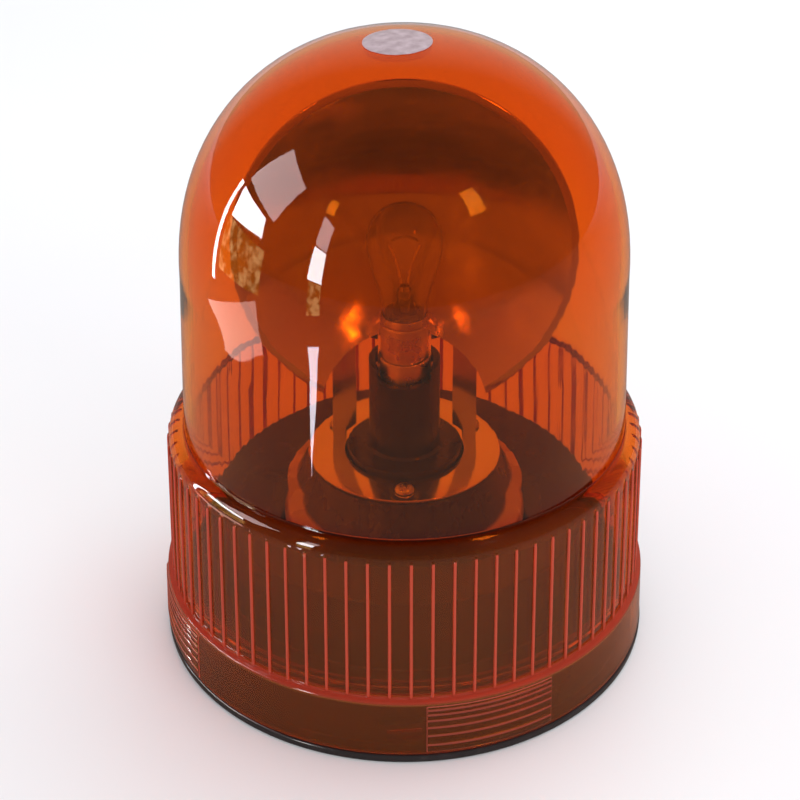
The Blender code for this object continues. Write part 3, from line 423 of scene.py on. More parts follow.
class Recipe:
    """Builds one node material: a Principled shader with noise-driven inputs."""

    def __init__(self, name, metallic=0.0, ior=1.5):
        self.material = bpy.data.materials.new(name)
        self.material.use_nodes = True
        self.tree = self.material.node_tree
        self.shader = self.tree.nodes["Principled BSDF"]
        self.output = self.tree.nodes["Material Output"]
        self.put("Metallic", metallic)
        self.put("IOR", ior)
        self.place = make_node(self.tree, "TexCoord").outputs["Object"]

    def put(self, name, value):
        feed(self.shader.inputs[name], value)

    def noise(self, scale, detail):
        """A noise with features about 1 / scale metres wide."""
        inputs = {"Vector": self.place, "Scale": scale, "Detail": detail}
        return make_node(self.tree, "TexNoise", inputs).outputs["Fac"]

    def cells(self, scale):
        return make_node(self.tree, "TexVoronoi", {"Vector": self.place, "Scale": scale}).outputs

    def bands(self, scale, distortion=0.0):
        """Bands stacked along Z."""
        inputs = {"Vector": self.place, "Scale": scale, "Distortion": distortion}
        node = make_node(self.tree, "TexWave", inputs, bands_direction="Z")
        return node.outputs["Fac"]

    def spread(self, source, first, last, start=0.3, end=0.7):
        return map_range(self.tree, source, first, last, start, end)

    def between(self, source, start, end, first=0.0, last=1.0):
        """As spread, for a place whose start and end are in millimetres."""
        return map_range(self.tree, source, first, last, start * MM, end * MM)

    def place_along(self, axis):
        return make_node(self.tree, "SeparateXYZ", {"Vector": self.place}).outputs[axis]

    def place_radius(self):
        inputs = {"X": self.place_along("X"), "Y": self.place_along("Y")}
        flat = make_node(self.tree, "CombineXYZ", inputs).outputs["Vector"]
        node = make_node(self.tree, "VectorMath", {0: flat}, operation="LENGTH")
        return node.outputs["Value"]

    def combined(self, operation, first, second):
        node = make_node(self.tree, "Math", {0: first, 1: second}, operation=operation)
        return node.outputs["Value"]

    def product(self, first, second):
        return self.combined("MULTIPLY", first, second)

    def largest(self, first, second):
        return self.combined("MAXIMUM", first, second)

    def blend_colours(self, share, first, second):
        inputs = {0: share, 6: first, 7: second}
        node = make_node(self.tree, "Mix", inputs, data_type="RGBA")
        self.put("Base Color", node.outputs[2])

    def ramp(self, source, *places):
        """The colour that source picks between two or more (place, colour) stops."""
        node = make_node(self.tree, "ValToRGB", {"Fac": source})
        stops = node.color_ramp.elements
        for i, (place, colour) in enumerate(places):
            stop = stops[i] if i < 2 else stops.new(place)
            stop.position = place
            stop.color = (*colour, 1.0)
        return node.outputs["Color"]

    def tint(self, source, dark, light, start=0.35, end=0.65):
        return self.ramp(source, (start, dark), (end, light))

    def colours(self, noise, dark, light, start=0.35, end=0.65):
        """Varies the colour with a noise, which is given as its scale and detail."""
        self.put("Base Color", self.tint(self.noise(*noise), dark, light, start, end))

    def rough(self, noise, first, last):
        self.put("Roughness", self.spread(self.noise(*noise), first, last))

    def grain(self, noise, depth_mm, strength=1.0):
        self.bump(self.noise(*noise), depth_mm, strength)

    def bump(self, source, depth_mm, strength=1.0):
        inputs = {"Height": source, "Distance": depth_mm * MM, "Strength": strength}
        self.put("Normal", make_node(self.tree, "Bump", inputs).outputs["Normal"])

    def cover(self, share, shader):
        """Shows another shader in place of the Principled one as share goes to 1."""
        mixed = mix_shaders(self.tree, share, self.shader, shader)
        feed(self.output.inputs["Surface"], mixed)

    def let_lamps_through(self, colour):
        """Lets lamps shine through clear plastic or glass, tinted by its colour."""
        clear = make_node(self.tree, "BsdfTransparent", {"Color": (*colour, 1.0)})
        path = make_node(self.tree, "LightPath")
        self.cover(path.outputs["Is Shadow Ray"], clear)


# -------------------- materials

MATERIALS = {}


def finish(metallic=0.0, ior=1.5):
    """Turns a function that fills in a recipe into the material of the same name."""

    def build(fill_in):
        recipe = Recipe(fill_in.__name__, metallic, ior)
        fill_in(recipe)
        MATERIALS[fill_in.__name__] = recipe.material
        return recipe.material

    return build


def amber_tint(recipe, height):
    """The tint at the surface: yellow on the cylinder, redder below it and towards the top."""
    yellow = (0.86, 0.41, 0.012)
    return recipe.ramp(
        recipe.between(height, 0.0, LENS_TOP),
        (SHOULDER_TOP / LENS_TOP, (0.80, 0.27, 0.03)),
        ((SHOULDER_TOP + 4.0) / LENS_TOP, yellow),
        (0.60, yellow),
        (0.75, (0.84, 0.315, 0.012)),
    )


def rib_painted_highlight(recipe, height, radius):
    """How strongly the painted highlight shows on the ribs' faces, and its faint share on the collar
    between them.
    """
    lean = recipe.between(height, BAND_TOP, SHOULDER_START, 0.0, COLLAR_TAPER * MM)
    upright = recipe.combined("ADD", radius, lean)
    on_rib = recipe.between(upright, COLLAR_RADIUS + 0.15, COLLAR_RADIUS + 0.40, 0.06, 1.0)
    above_band = recipe.between(height, BAND_TOP + 0.3, BAND_TOP + 0.7)
    below_shoulder = recipe.between(height, SHOULDER_START, SHOULDER_TOP, 1.0, 0.0)
    return recipe.product(recipe.product(on_rib, above_band), below_shoulder)


# Painted highlight along the step above the band: a red-orange colour in place of the light it catches.
def step_painted_highlight(recipe, height):
    near_step = recipe.between(height, BAND_TOP - 1.3, BAND_TOP, 0.06, 0.65)
    below_ribs = recipe.between(height, BAND_TOP + 0.6, BAND_TOP + 1.6, 1.0, 0.0)
    return recipe.product(near_step, below_ribs)


def pad_painted_highlight(recipe, height, radius):
    """How strongly the painted highlight shows on the pads' ridges and on the edges of their panels."""
    lean = recipe.between(height, LENS_BOTTOM, BAND_TOP, 0.0, BAND_TAPER * MM)
    upright = recipe.combined("ADD", radius, lean)
    ridges = recipe.between(upright, BAND_RADIUS + 0.36, BAND_RADIUS + 0.52, 0.0, 0.5)
    off_band = recipe.between(upright, BAND_RADIUS + 0.04, BAND_RADIUS + 0.08, 0.0, 0.9)
    off_panel = recipe.between(upright, BAND_RADIUS + 0.20, BAND_RADIUS + 0.26, 1.0, 0.0)
    return recipe.largest(ridges, recipe.product(off_band, off_panel))


@finish(ior=1.49)
def amber_plastic(recipe):
    """Clear amber: half of its tint is at the surface, and long ways through it turn it red.

    The ribs, the ridges of the pads and the step above the band carry a painted highlight: a red-orange
    colour with less transmission stands in for the light they catch.
    """
    height = recipe.place_along("Z")
    radius = recipe.place_radius()
    pad_highlight = pad_painted_highlight(recipe, height, radius)
    rib_and_step_highlight = recipe.largest(rib_painted_highlight(recipe, height, radius), step_painted_highlight(recipe, height))
    painted_highlight = recipe.largest(rib_and_step_highlight, pad_highlight)
    # Painted highlight: where the masks rise, the lens turns red-orange and lets less light through.
    painted_highlight_colour = (0.60, 0.085, 0.045, 1.0)
    share = recipe.spread(painted_highlight, 0.0, 1.0, 0.1, 0.5)
    recipe.blend_colours(share, amber_tint(recipe, height), painted_highlight_colour)
    recipe.put("Transmission Weight", recipe.spread(painted_highlight, 1.0, 0.12, 0.0, 1.0))
    polish = recipe.spread(recipe.noise(70.0, 6.0), 0.0, 0.05)
    dulled = recipe.spread(pad_highlight, 0.0, 0.45, 0.0, 0.5)
    recipe.put("Roughness", recipe.largest(polish, dulled))
    recipe.grain((24.0, 1.0), 0.05, 0.25)
    inputs = {"Color": (0.985, 0.50, 0.05, 1.0), "Density": 160.0}
    absorb = make_node(recipe.tree, "VolumeAbsorption", inputs)
    feed(recipe.output.inputs["Volume"], absorb.outputs["Volume"])
    recipe.let_lamps_through((0.90, 0.61, 0.12))


@finish()
def black_gloss_plastic(recipe):
    recipe.colours((160.0, 5.0), (0.026, 0.022, 0.023), (0.042, 0.036, 0.036), 0.5, 0.75)
    recipe.rough((90.0, 6.0), 0.10, 0.26)
    recipe.grain((420.0, 2.0), 0.006, 0.4)


@finish()
def black_satin_plastic(recipe):
    """The rotor's plastic, with a painted highlight: its ledge is coloured paler, in place of the
    window's reflection in it.
    """
    recipe.put("Specular IOR Level", 0.9)
    dark, light = (0.030, 0.024, 0.022), (0.046, 0.036, 0.034)
    plain = recipe.tint(recipe.noise(160.0, 5.0), dark, light, 0.5, 0.75)
    # Painted highlight: a pale brown on the ledge stands in for the reflection of the window.
    ledge_painted_highlight = recipe.tint(recipe.noise(90.0, 4.0), (0.36, 0.29, 0.19), (0.48, 0.40, 0.26))
    on_ledge = recipe.between(recipe.place_radius(), LEDGE_START - 0.2, LEDGE_START + 0.4)
    recipe.blend_colours(on_ledge, plain, ledge_painted_highlight)
    recipe.rough((90.0, 6.0), 0.22, 0.32)
    recipe.grain((420.0, 2.0), 0.010, 0.5)


@finish()
def black_matt_plastic(recipe):
    recipe.colours((120.0, 4.0), (0.016, 0.016, 0.017), (0.035, 0.034, 0.033))
    recipe.rough((300.0, 3.0), 0.45, 0.65)
    recipe.grain((1800.0, 2.0), 0.01)


@finish(metallic=1.0)
def mirror_plastic(recipe):
    recipe.colours((40.0, 3.0), (0.88, 0.87, 0.85), (0.95, 0.94, 0.93))
    recipe.rough((60.0, 5.0), 0.07, 0.16)
    recipe.grain((55.0, 2.0), 0.10, 0.35)


@finish(metallic=1.0)
def nickel_plate(recipe):
    recipe.colours((120.0, 5.0), (0.80, 0.74, 0.62), (0.93, 0.88, 0.78))
    recipe.rough((200.0, 3.0), 0.22, 0.36)
    recipe.grain((300.0, 2.0), 0.002, 0.3)


@finish(metallic=1.0)
def zinc_steel(recipe):
    recipe.colours((260.0, 4.0), (0.50, 0.50, 0.53), (0.72, 0.71, 0.70))
    recipe.rough((400.0, 4.0), 0.22, 0.42)
    recipe.grain((900.0, 3.0), 0.01)


@finish(metallic=1.0)
def galvanised_sheet(recipe):
    spangle = recipe.cells(180.0)
    crystals = recipe.tint(spangle["Color"], (0.45, 0.46, 0.47), (0.68, 0.69, 0.70), 0.2, 0.8)
    recipe.put("Base Color", crystals)
    recipe.rough((240.0, 4.0), 0.32, 0.5)
    recipe.bump(spangle["Distance"], 0.01, 0.6)


@finish(metallic=1.0)
def brass(recipe):
    recipe.colours((200.0, 5.0), (0.60, 0.40, 0.15), (0.82, 0.60, 0.28))
    recipe.rough((350.0, 4.0), 0.2, 0.42)
    recipe.bump(recipe.bands(900.0), 0.01, 0.5)


@finish(metallic=1.0)
def copper(recipe):
    """The motor's winding, strand by strand."""
    strands = recipe.bands(2200.0, 1.5)
    recipe.put("Base Color", recipe.tint(strands, (0.35, 0.13, 0.05), (0.80, 0.40, 0.20), 0.2, 0.8))
    recipe.rough((300.0, 3.0), 0.28, 0.45)
    recipe.bump(strands, 0.12)


@finish(ior=1.3)
def clear_glass(recipe):
    recipe.put("Base Color", (0.98, 0.98, 0.98, 1.0))
    recipe.put("Transmission Weight", 0.95)
    recipe.rough((90.0, 4.0), 0.0, 0.03)
    recipe.grain((120.0, 1.0), 0.02, 0.4)
    recipe.let_lamps_through((0.97, 0.97, 0.97))


@finish()
def black_rubber(recipe):
    recipe.colours((150.0, 5.0), (0.014, 0.014, 0.015), (0.04, 0.038, 0.036))
    recipe.rough((500.0, 3.0), 0.68, 0.88)
    recipe.grain((1500.0, 3.0), 0.03)


@finish()
def nylon(recipe):
    recipe.colours((110.0, 4.0), (0.76, 0.73, 0.64), (0.87, 0.85, 0.79))
    recipe.rough((300.0, 3.0), 0.34, 0.5)
    recipe.grain((900.0, 3.0), 0.01)
    recipe.put("Subsurface Weight", 0.15)
    recipe.put("Subsurface Radius", (0.002, 0.0018, 0.0014))


@finish()
def red_insulation(recipe):
    recipe.colours((200.0, 3.0), (0.46, 0.012, 0.012), (0.66, 0.03, 0.025))
    recipe.rough((500.0, 3.0), 0.36, 0.55)
    recipe.grain((1200.0, 3.0), 0.01)


@finish()
def white_paper(recipe):
    recipe.colours((320.0, 8.0), (0.36, 0.27, 0.29), (0.50, 0.39, 0.42))
    recipe.rough((600.0, 3.0), 0.45, 0.7)
    recipe.grain((420.0, 6.0), 0.03)


@finish(metallic=1.0)
def tungsten(recipe):
    recipe.colours((900.0, 3.0), (0.25, 0.24, 0.23), (0.45, 0.44, 0.42))
    recipe.rough((1500.0, 3.0), 0.3, 0.45)


@finish()
def pale_floor(recipe):
    """A pale floor with painted shade: it looks dimmer in mirrors, and in front of the light through
    its lens.
    """
    recipe.put("Specular IOR Level", 0.0)
    recipe.colours((3.0, 3.0), (0.85, 0.85, 0.855), (0.88, 0.875, 0.87))
    recipe.rough((9.0, 3.0), 0.5, 0.65)
    # Painted shade: mirrors, and rays through the lens in front, see a dim brown colour in place of the
    # pale floor.
    painted_shade = make_node(recipe.tree, "BsdfDiffuse", {"Color": (0.20, 0.14, 0.10, 1.0)})
    path = make_node(recipe.tree, "LightPath").outputs
    behind = recipe.place_along("Y")
    mirrored = recipe.spread(behind, 0.85, 0.0, 0.4, 2.0)
    through_lens = recipe.spread(behind, 0.8, 0.0, -0.10, 0.10)
    dimmed = map_range(recipe.tree, path["Is Transmission Ray"], mirrored, through_lens)
    recipe.cover(recipe.product(path["Is Glossy Ray"], dimmed), painted_shade)


def glow(name, colour, strength, dark=None):
    """A plain light. With a dark colour it is patchy, like leaves outdoors."""
    recipe = Recipe(name)
    recipe.tree.nodes.remove(recipe.shader)
    shown = (*colour, 1.0)
    if dark is not None:
        shown = recipe.tint(recipe.noise(30.0, 2.0), dark, colour, 0.42, 0.62)
    light = make_node(recipe.tree, "Emission", {"Color": shown, "Strength": strength})
    feed(recipe.output.inputs["Surface"], light.outputs["Emission"])
    return recipe.material


def piece(name, mesh, slot_name, body, node, material=None):
    """A piece in place of a CAD node, with its slot's finish or with a closer one of its own."""
    obj = finished(name, mesh, material or MATERIALS[slot_name])
    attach(obj, body)
    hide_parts(node)
    return obj


def dress_frame():
    """Gives every CAD node its node-based finish."""
    for part in frame["record"]["subparts"]:
        obj = frame["nodes"][part["node"]]
        for slot in obj.material_slots:
            slot.material = MATERIALS[part["material_slot"]]


# -------------------- lens


def trapezoid(distance, top, foot):
    """1 within top of a ridge's middle line, 0 beyond foot, and a slope between."""
    if distance <= top:
        return 1.0
    if distance >= foot:
        return 0.0
    return (foot - distance) / (foot - top)


def rib_share(azimuth):
    away = (azimuth - RIB_START) % RIB_PITCH
    return trapezoid(min(away, RIB_PITCH - away), RIB_TOP, RIB_FOOT)


def pad_share(azimuth):
    share = 0.0
    for centre in PAD_AZIMUTHS:
        away = abs((azimuth - centre + 180.0) % 360.0 - 180.0)
        share = max(share, trapezoid(away, PAD_SWEEP / 2 - PAD_EDGE, PAD_SWEEP / 2))
    return share


def pad_relief(height):
    """How far the pad stands out at a height: a flat panel with rounded ridges across it."""
    inside = min(height - PAD_BOTTOM, PAD_TOP - height)
    panel = min(max(inside / PAD_SLOPE, 0.0), 1.0)
    ridge = max(trapezoid(abs(height - middle), RIDGE_TOP, RIDGE_FOOT) for middle in RIDGE_PLACES)
    return PAD_HEIGHT * panel + RIDGE_HEIGHT * ridge


def lens_azimuths():
    """Columns at each rib's feet and top edges, between the ribs, and at each pad's edges."""
    places = set()
    gaps = (0.33 * RIB_PITCH, 0.5 * RIB_PITCH, 0.67 * RIB_PITCH)
    for i in range(RIB_COUNT):
        centre = RIB_START + RIB_PITCH * i
        for step in (-RIB_FOOT, -RIB_TOP, RIB_TOP, RIB_FOOT, *gaps):
            places.add(round((centre + step) % 360.0, 4))
    for centre in PAD_AZIMUTHS:
        for side in (-1, 1):
            for inset in (0.0, PAD_EDGE):
                places.add(round((centre + side * (PAD_SWEEP / 2 - inset)) % 360.0, 4))
    return sorted(places)


def dome_profile(shrink, count):
    """The dome from its rim up to just short of its apex."""
    radius = DOME_RADIUS - shrink
    rise = LENS_TOP - DOME_START - shrink
    power = 2 / DOME_POWER
    points = []
    for i in range(count):
        angle = math.pi / 2 * i / count
        height = DOME_START + rise * math.sin(angle) ** power
        points.append((radius * math.cos(angle) ** power, height))
    return points


def band_profile():
    """Points up the lower band, with rows at the pads' edges and ridges."""
    heights = {PAD_BOTTOM, PAD_BOTTOM + PAD_SLOPE, PAD_TOP, PAD_TOP - PAD_SLOPE, BAND_TOP - 0.7}
    for middle in RIDGE_PLACES:
        heights |= {middle + step for step in (-RIDGE_FOOT, -RIDGE_TOP, RIDGE_TOP, RIDGE_FOOT)}
    points = []
    for height in sorted(heights):
        share = (height - LENS_BOTTOM) / (BAND_TOP - LENS_BOTTOM)
        points.append((BAND_RADIUS - BAND_TAPER * share, height))
    return points


def lens_outer_profile():
    """Points up the outside, each with how strongly the ribs and the pads act there."""
    points = []

    def add(places, rib=0.0, pad=0.0):
        for radius, height in places:
            points.append((radius, height, rib, pad))

    add([(BAND_RADIUS - 0.5, LENS_BOTTOM), (BAND_RADIUS - 0.12, LENS_BOTTOM + 0.15)])
    add([(BAND_RADIUS, LENS_BOTTOM + 0.5)])
    add(band_profile(), pad=1.0)
    add(arc((BAND_RADIUS - 1.5, BAND_TOP - 0.7), (0.7, 0.7), 20.0, 90.0, 4))
    add([(COLLAR_RADIUS + 0.55, BAND_TOP), (COLLAR_RADIUS + 0.15, BAND_TOP + 0.12)])
    add([(COLLAR_RADIUS, BAND_TOP + 0.5)], rib=0.4)
    collar_top = (COLLAR_RADIUS - COLLAR_TAPER, SHOULDER_START - 0.8)
    add(line((COLLAR_RADIUS, BAND_TOP + 1.2), collar_top, 8) + [collar_top], rib=1.0)
    shoulder = (CYLINDER_RADIUS + 0.8, SHOULDER_START)
    radii = (collar_top[0] - shoulder[0], SHOULDER_TOP - SHOULDER_START)
    shoulder_arc = arc(shoulder, radii, 0.0, 90.0, 12)
    add(shoulder_arc[:1], rib=0.75)
    add(shoulder_arc[1:])
    add([(CYLINDER_RADIUS + 0.3, SHOULDER_TOP + 0.08), (CYLINDER_RADIUS + 0.05, SHOULDER_TOP + 0.4)])
    add(line((CYLINDER_RADIUS, SHOULDER_TOP + 1.0), (DOME_RADIUS, DOME_START), 6))
    add(dome_profile(0.0, 30))
    return points


def lens_inner_profile():
    """Points down the inside, from just short of the apex to the bottom edge."""
    cylinder = CYLINDER_RADIUS - LENS_WALL
    collar = COLLAR_RADIUS - LENS_WALL
    band = BAND_RADIUS - LENS_WALL
    bead = COLLAR_RADIUS - 5.2
    points = list(reversed(dome_profile(LENS_WALL, 20)))
    points += line((DOME_RADIUS - LENS_WALL, DOME_START - 4.0), (cylinder, 78.0), 5)
    points.append((cylinder, 75.6))
    points += arc((cylinder + 0.4, 69.6), (4.5, 5.2), 90.0, 0.0, 6)
    points += line((collar - 1.8, 68.0), (collar - 0.2, 28.0), 4)
    points += [(collar - 0.2, 28.0), (bead + 0.4, 27.0), (bead, 26.7), (bead, 25.6)]
    points += [(bead + 0.4, 25.2), (collar, 25.2), (collar, BAND_TOP)]
    points += line((band - BAND_TAPER, BAND_TOP - 1.8), (band, LENS_BOTTOM), 5)
    points += [(band, LENS_BOTTOM + 0.3), (band + 0.3, LENS_BOTTOM)]
    return points


def lens_bmesh():
    """The lens's two skins, joined at the bottom edge, each closed by a fan at its apex."""
    azimuths = lens_azimuths()
    bm = bmesh.new()
    rings = []
    for radius, height, rib, pad in lens_outer_profile():
        ring = []
        for azimuth in azimuths:
            relief = RIB_HEIGHT * rib * rib_share(azimuth) if rib else 0.0
            if pad:
                relief += pad * pad_share(azimuth) * pad_relief(height)
            ring.append(bm.verts.new(polar(radius + relief, azimuth, height) * MM))
        rings.append(ring)
    apex = bm.verts.new((0.0, 0.0, LENS_TOP * MM))
    inner_apex = bm.verts.new((0.0, 0.0, (LENS_TOP - LENS_WALL) * MM))
    inner_rings = [
        [bm.verts.new(polar(radius, azimuth, height) * MM) for azimuth in azimuths]
        for radius, height in lens_inner_profile()
    ]
    skin(bm, inner_rings + rings)
    fan(bm, rings[-1], apex)
    fan(bm, inner_rings[0], inner_apex)
    return bm


def lens_lug(index):
    start = BAYONET_AZIMUTHS[index] - LUG_SWEEP / 2
    rise = BAYONET_SLOPE * LUG_SWEEP
    top = LUG_TOP - rise / 2
    radii = (DRUM_RADIUS + 0.7, LUG_OUTER)
    return swept_block(radii, (top - LUG_HEIGHT, top), start, LUG_SWEEP, rise, 4)


def make_lens():
    smooth_angle = 38.0
    lugs = [join(lens_lug(i)) for i in range(3)]
    mesh = apply_booleans(finish_mesh(lens_bmesh(), smooth_angle), lugs, smooth_angle)
    piece("lens_moulding", mesh, "amber_plastic", "lens_cover", "lens")


def make_sticker():
    """A thin paper disc laid on the dome, a little off centre, with a few soft creases."""
    sides, ring_count, thickness, gap = 72, 14, 0.12, 0.10
    crease_height, crease_width = 0.07, 0.7
    rng = random.Random(7)
    radius = (high("qc_sticker", 0) - low("qc_sticker", 0)) / 2
    centre_x = (high("qc_sticker", 0) + low("qc_sticker", 0)) / 2
    creases = [(rng.uniform(0, math.pi), rng.uniform(-0.5, 0.5) * radius) for _ in range(4)]
    rise = LENS_TOP - DOME_START
    bm = bmesh.new()

    def vert(x, y, lift):
        share = min(math.hypot(x, y) / DOME_RADIUS, 1.0)
        height = DOME_START + rise * (1 - share**DOME_POWER) ** (1 / DOME_POWER)
        ripple = 0.0
        for angle, offset in creases:
            away = (x - centre_x) * math.cos(angle) + y * math.sin(angle) - offset
            ripple += crease_height * math.exp(-((away / crease_width) ** 2))
        return bm.verts.new(Vector((x, y, height + gap + ripple + lift)) * MM)

    rims = []
    for lift in (0.0, thickness):
        rings = []
        for k in range(1, ring_count + 1):
            ring = []
            for i in range(sides):
                spoke = polar(radius * k / ring_count, i * 360.0 / sides)
                ring.append(vert(centre_x + spoke.x, spoke.y, lift))
            rings.append(ring)
        fan(bm, rings[0], vert(centre_x, 0.0, lift))
        skin(bm, rings)
        rims.append(rings[-1])
    skin(bm, rims)
    piece("sticker", finish_mesh(bm), "white_paper", "lens_cover", "qc_sticker")


# -------------------- base and seal

BASE_COLUMNS = (
    # distance from the axis, first azimuth, (radius, bottom, top) of the column and of its bore
    (63.0, 90.0, (4.2, 2.5, 21.0), (1.9, 1.0, 14.3)),
    (62.0, 30.0, (5.4, 2.5, 21.0), (4.2, -0.5, 13.0)),
    (51.5, 90.0, (4.2, 28.6, 46.0), (1.7, 26.3, 37.0)),
)


def bayonet_ramp(index):
    start = BAYONET_AZIMUTHS[index] - LUG_SWEEP / 2 - RAMP_GAP
    sweep = BAYONET_TURN + LUG_SWEEP - 6.0
    bottom = RAMP_BOTTOM - BAYONET_SLOPE * (LUG_SWEEP / 2 + RAMP_GAP)
    radii = (DRUM_RADIUS - 1.0, DRUM_RADIUS + 2.3)
    heights = (bottom, bottom + RAMP_HEIGHT)
    return swept_block(radii, heights, start, sweep, BAYONET_SLOPE * sweep)


def make_base():
    """The base moulding with soft edges, its bayonet ramps, and its columns inside."""
    deck_hole, deck_radius, wall = 20.4, 60.8, 2.6
    shoulder, flange_top, flange_inner, foot = 21.8, 2.6, 70.5, 3.6
    drum_inner = DRUM_RADIUS - 5.2
    neck_inner = deck_radius - 2.4
    outline = [
        (deck_hole, DECK_HEIGHT), (deck_radius, DECK_HEIGHT),
        (deck_radius + 0.4, shoulder), (DRUM_RADIUS, shoulder),
        (DRUM_RADIUS, flange_top), (BASE_RADIUS, flange_top), (BASE_RADIUS, 0.0),
        (flange_inner, 0.0), (flange_inner, foot), (drum_inner, foot),
        (drum_inner, shoulder - 2.8), (neck_inner, shoulder - 1.2),
        (neck_inner, DECK_HEIGHT - wall), (deck_hole, DECK_HEIGHT - wall),
    ]
    mesh = lathe(rounded(outline, 0.7, 4), 192)
    steps = []
    for i in range(3):
        bores = []
        for circle, azimuth, column, bore in BASE_COLUMNS:
            place = polar(circle, azimuth + 120.0 * i).xy
            steps.append(join(rod_mesh(*column, place)))
            bores.append(cut(rod_mesh(*bore, place)))
        steps += [join(bayonet_ramp(i)), *bores]
    mesh = apply_booleans(mesh, steps)
    piece("base_moulding", mesh, "black_gloss_plastic", "base", "base_housing")


def make_seal():
    inner, outer = 70.4, 73.6
    bottom, top = low("seal_ring"), high("seal_ring")
    outline = [(outer, top), (outer, bottom), (inner, bottom), (inner, top)]
    mesh = lathe(rounded(outline, 0.7, 4), 160)
    piece("seal", mesh, "black_rubber", "lens_seal", "seal_ring")


# -------------------- rotor


def screw_holes(bottom, top):
    return [
        cut(rod_mesh(SCREW_BORE, bottom, top, polar(SCREW_CIRCLE, azimuth).xy, 20))
        for azimuth in SCREW_AZIMUTHS
    ]


def make_turntable():
    """The rotor with its hub, ledge and skirt, and the tube that carries the gear's clip."""
    bore, recess, tube = 14.6, 19.0, 19.4
    ledge, skirt_bottom = TURNTABLE_TOP - 8.4, 49.8
    recess_floor, under_hub = 60.3, 59.4
    groove_top, groove_bottom, tube_bottom = 35.9, 34.6, 34.0
    outline = [
        (recess, TURNTABLE_TOP), (HUB_RADIUS, TURNTABLE_TOP), (LEDGE_START, ledge),
        (TURNTABLE_RADIUS, ledge - 0.9), (TURNTABLE_RADIUS, skirt_bottom),
        (35.6, skirt_bottom), (31.6, 51.2), (28.2, under_hub), (tube, under_hub),
        (tube, groove_top), (tube - 1.0, groove_top), (tube - 1.0, groove_bottom),
        (tube, groove_bottom), (tube, tube_bottom), (bore, tube_bottom),
        (bore, recess_floor), (recess, recess_floor),
    ]
    mesh = lathe(rounded(outline, 0.8, 5), 160)
    mesh = apply_booleans(mesh, screw_holes(57.0, 64.0))
    piece("rotor_table", mesh, "black_gloss_plastic", "rotor", "turntable", black_satin_plastic)


def dish_place():
    """The dish's own axes: Z out of its mouth, with its vertex at the origin."""
    outward = Vector((0.0, -math.cos(DISH_TILT), math.sin(DISH_TILT)))
    across = Vector((1.0, 0.0, 0.0))
    up = outward.cross(across)
    rotation = Matrix((across, up, outward)).transposed().to_4x4()
    return shifted(*(DISH_CENTRE - outward * DISH_DEPTH)) @ rotation


def parabola(offset, count):
    points = []
    for i in range(count + 1):
        share = math.sin(math.pi / 2 * i / count)
        radius = DISH_RADIUS * share
        points.append((radius + offset * 0.8 * share, radius**2 / (4 * DISH_FOCUS) - offset))
    return points


def reflector_leg(side):
    """A leg on one side: a flat outline in the XZ plane, thickened along Y."""
    inner, step, outer, bottom, top = 15.5, 18.7, 23.0, 62.6, 114.0
    thickness = 3.0 * MM
    outline = [(step, bottom), (outer, bottom), (outer, top), (inner, top), (inner, 69.0), (step, 66.5)]
    bm = bmesh.new()
    verts = [
        bm.verts.new((side * x * MM, -thickness / 2, z * MM)) for x, z in rounded(outline, 1.2, 4)
    ]
    made = bmesh.ops.extrude_face_region(bm, geom=[bm.faces.new(verts)])["geom"]
    moved = [item for item in made if isinstance(item, bmesh.types.BMVert)]
    bmesh.ops.translate(bm, vec=(0.0, thickness, 0.0), verts=moved)
    return finish_mesh(bm)


def make_dish():
    """The concave dish with its lip, the arched notch under it and the opening for the bulb."""
    front = parabola(0.0, 40)
    back = parabola(DISH_WALL, 20)
    lip = DISH_RADIUS + DISH_LIP
    rim = [front[-1], (lip, DISH_DEPTH), (lip, DISH_DEPTH - DISH_WALL), back[-1]]
    profile = front[:-1] + rounded(rim, 0.6, 5, closed=False) + back[-2::-1]
    dish = placed(lathe(profile, 200, closed=False), dish_place())
    flattened = Matrix.Diagonal((1.0, 0.48, 1.0, 1.0))
    notch_place = shifted(0.0, -12.5, 90.5) @ Matrix.Rotation(math.pi / 2, 4, "X") @ flattened
    notch = rod_mesh(25.0, -17.5, 17.5, segments=96)
    opening = rod_mesh(9.8, 84.0, 125.0, segments=64)
    return apply_booleans(dish, [cut(notch, notch_place), cut(opening)])


def make_reflector():
    """The mirror moulding: a ring on the turntable, two legs up to the dish, and the dish."""
    inner, top = 18.9, RING_BOTTOM + 1.0
    outline = [(HUB_RADIUS, top), (HUB_RADIUS, RING_BOTTOM), (inner, RING_BOTTOM), (inner, top)]
    dish = make_dish()
    ring = lathe(rounded(outline, 0.4, 4), 160)
    bowl = lathe(parabola(0.0, 40) + [(0.0, DISH_DEPTH)], 96, closed=False)
    steps = [join(reflector_leg(side), shifted(0.0, 6.3, 0.0)) for side in (1, -1)]
    steps += [cut(placed(bowl, dish_place())), join(dish)]
    steps += screw_holes(60.0, 66.0)
    mesh = apply_booleans(ring, steps)
    piece("mirror_dish", mesh, "mirror_plastic", "rotor", "reflector")


def make_screw(index):
    """A pan-head screw with a cross recess."""
    node = f"reflector_screw_{index + 1}"
    name = f"rotor_screw_{index + 1}"
    head_radius, shank_radius, tip_radius = 3.0, 1.4, 0.6
    bottom, top = low(node), high(node)
    head = top - 2.0
    profile = [(0.0, top)] + arc((0.0, head + 0.2), (head_radius, 1.8), 80.0, 0.0, 7)
    profile += [(head_radius, head), (shank_radius, head), (shank_radius, bottom + 0.8)]
    profile += [(tip_radius, bottom), (0.0, bottom)]
    slots = [cut(block_mesh((3.2, 0.7, 2.0), (0.0, 0.0, top), turn)) for turn in (25.0, 115.0)]
    mesh = apply_booleans(lathe(profile, 48, closed=False), slots)
    mesh = placed(mesh, shifted(*polar(SCREW_CIRCLE, SCREW_AZIMUTHS[index])))
    piece(name, mesh, "zinc_steel", "rotor", node)


# -------------------- tower, socket and bulb


